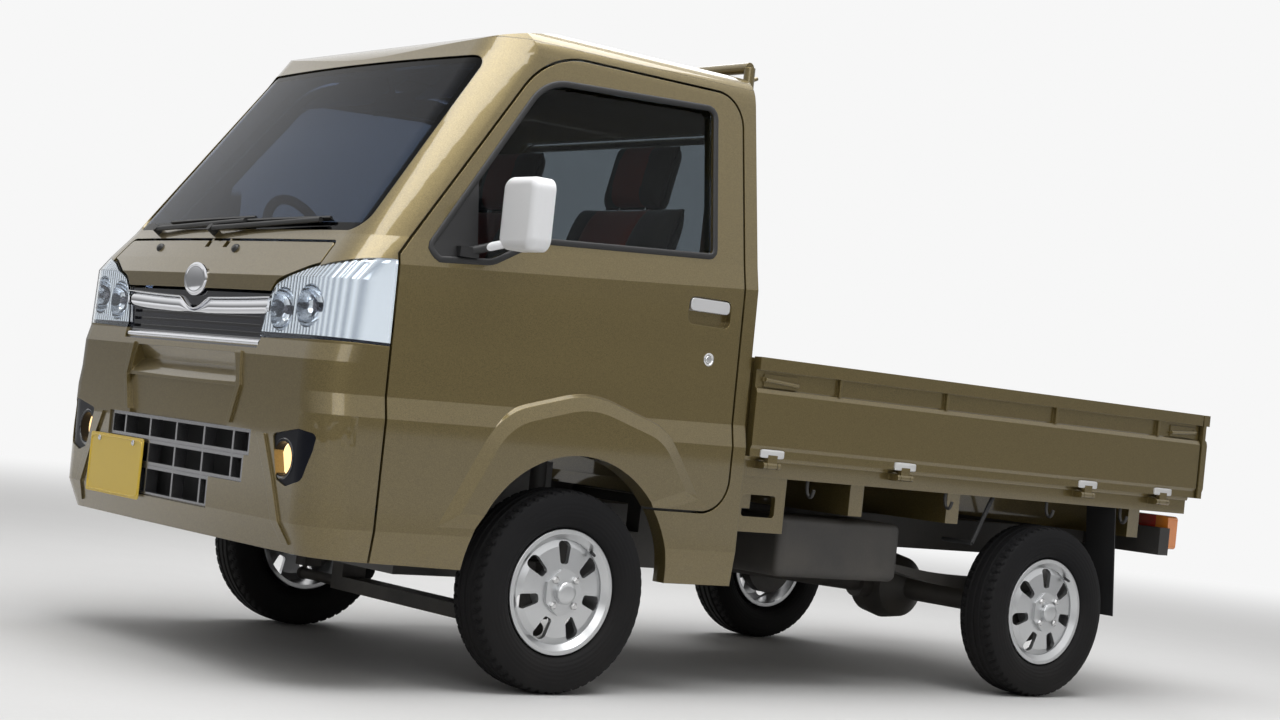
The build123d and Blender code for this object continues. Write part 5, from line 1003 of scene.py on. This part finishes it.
# Tail lamps and mud guards
# Three-colour moulded lamps on the rear beam, and rubber flaps behind the rear wheels.
TAIL_LENS = finish("tail_lens", (0.50, 0.02, 0.015), 0.15, 250, 0.1, 0.08,
                   Coat_Weight=1.0, Coat_Roughness=0.03)
accent(TAIL_LENS, (0.75, 0.22, 0.02), (665, 1615, 545), (26, 60, 80))
accent(TAIL_LENS, (0.75, 0.74, 0.72), (538, 1615, 545), (19, 60, 80))
wear(TAIL_LENS, "tail_lamps")
wear(BLACK_RUBBER, "mud_guards")


# Stage
# A pale floor, a large soft lamp overhead, two weaker ones from the sides, and a camera low at the corner.
# Far off the floor pales into the backdrop, for what the camera, metal and glass see of it.
PAPER = (0.93, 0.93, 0.93, 1.0)
FADE_NEAR, FADE_FAR = 3.6, 10.0
FLOOR_HALF = 30.0
floor_corners = [(x * FLOOR_HALF, y * FLOOR_HALF, 0) for x, y in ((-1, -1), (1, -1), (1, 1), (-1, 1))]
floor_mesh = bpy.data.meshes.new("floor")
floor_mesh.from_pydata(floor_corners, [], [(0, 1, 2, 3)])
floor = shown("floor", floor_mesh)
floor_paper = finish("floor_paper", (0.62, 0.62, 0.62), 0.7, 60, 0.02, 0.0)
floor_mesh.materials.append(floor_paper)
tree = floor_paper.node_tree
place, reach, fade, path = added(tree, "TexCoord", "VectorMath", "MapRange", "LightPath")
seen, clear, share, glow, blend = added(tree, "Math", "Math", "Math", "Emission", "MixShader")
reach.operation, share.operation = "LENGTH", "MULTIPLY"
seen.operation = clear.operation = "MAXIMUM"
fade.interpolation_type = "SMOOTHSTEP"
preset(fade, From_Min=FADE_NEAR, From_Max=FADE_FAR)
preset(glow, Color=PAPER)
wire(tree, (place, "Object", reach, 0), (reach, "Value", fade, "Value"), (path, "Is Camera Ray", seen, 0),
     (path, "Is Glossy Ray", seen, 1), (seen, 0, clear, 0), (path, "Is Transmission Ray", clear, 1),
     (clear, 0, share, 0), (fade, "Result", share, 1), (share, 0, blend, "Fac"),
     (tree.nodes["Principled BSDF"], 0, blend, 1), (glow, 0, blend, 2),
     (blend, 0, tree.nodes["Material Output"], "Surface"))
# name, place, aim, size, power
LAMPS = (
    ("overhead", (0.8, -0.6, 5.2), (0, 0, 0.6), 5.0, 370.0),
    ("front_side", (5.0, -3.6, 3.4), (0.2, -0.4, 0.8), 3.0, 45.0),
    ("far_side", (-3.4, 3.4, 5.4), (0, 0, 0.8), 3.0, 90.0),
)
for name, place, aim, size, power in LAMPS:
    lamp_data = bpy.data.lights.new(name, "AREA")
    lamp_data.size, lamp_data.energy = size, power
    lamp = shown(name, lamp_data)
    lamp.location = place
    lamp.rotation_euler = (Vector(aim) - Vector(place)).to_track_quat("-Z", "Y").to_euler()
world = bpy.data.worlds.new("studio")
bpy.context.scene.world = world
world.use_nodes = True
tree = world.node_tree
room = tree.nodes["Background"]
preset(room, Color=(1.0, 0.98, 0.95, 1.0), Strength=0.28)
paper, sky, shine, blend = added(tree, "Background", "Background", "MixShader", "MixShader")
place, split, rise, path, seen = added(tree, "TexCoord", "SeparateXYZ", "MapRange", "LightPath", "Math")
preset(paper, Color=PAPER)
preset(sky, Color=PAPER)
seen.operation = "MAXIMUM"
rise.interpolation_type = "SMOOTHSTEP"
preset(rise, From_Min=0.02, From_Max=0.32, To_Min=0.24, To_Max=1.0)
wire(tree, (place, "Generated", split, 0), (split, "Z", rise, "Value"), (rise, "Result", sky, "Strength"),
     (path, "Is Camera Ray", seen, 0), (path, "Is Transmission Ray", seen, 1),
     (path, "Is Glossy Ray", shine, "Fac"), (room, 0, shine, 1), (sky, 0, shine, 2), (seen, 0, blend, "Fac"),
     (shine, 0, blend, 1), (paper, 0, blend, 2), (blend, 0, tree.nodes["World Output"], "Surface"))
AZIMUTH, ELEVATION, ROLL = (math.radians(angle) for angle in (51.55, -1.45, 6.01))
CAMERA_AT = (5.316, -4.379, 0.746)
FOCAL_PIXELS, FRAME_PIXELS, SENSOR = 2210.0, 1280.0, 36.0
level = math.cos(ELEVATION)
back = Vector((math.sin(AZIMUTH) * level, -math.cos(AZIMUTH) * level, math.sin(ELEVATION)))
right = Vector((0, 0, 1)).cross(back).normalized()
up = back.cross(right)
camera_x = right * math.cos(ROLL) + up * math.sin(ROLL)
camera_y = up * math.cos(ROLL) - right * math.sin(ROLL)
stand = Matrix((camera_x, camera_y, back)).transposed().to_4x4()
stand.translation = Vector(CAMERA_AT)
camera_data = bpy.data.cameras.new("camera")
camera_data.sensor_width, camera_data.lens = SENSOR, SENSOR * FOCAL_PIXELS / FRAME_PIXELS
camera = shown("camera", camera_data)
camera.matrix_world = stand
bpy.context.scene.camera = camera
bpy.context.scene.view_settings.view_transform = "Standard"
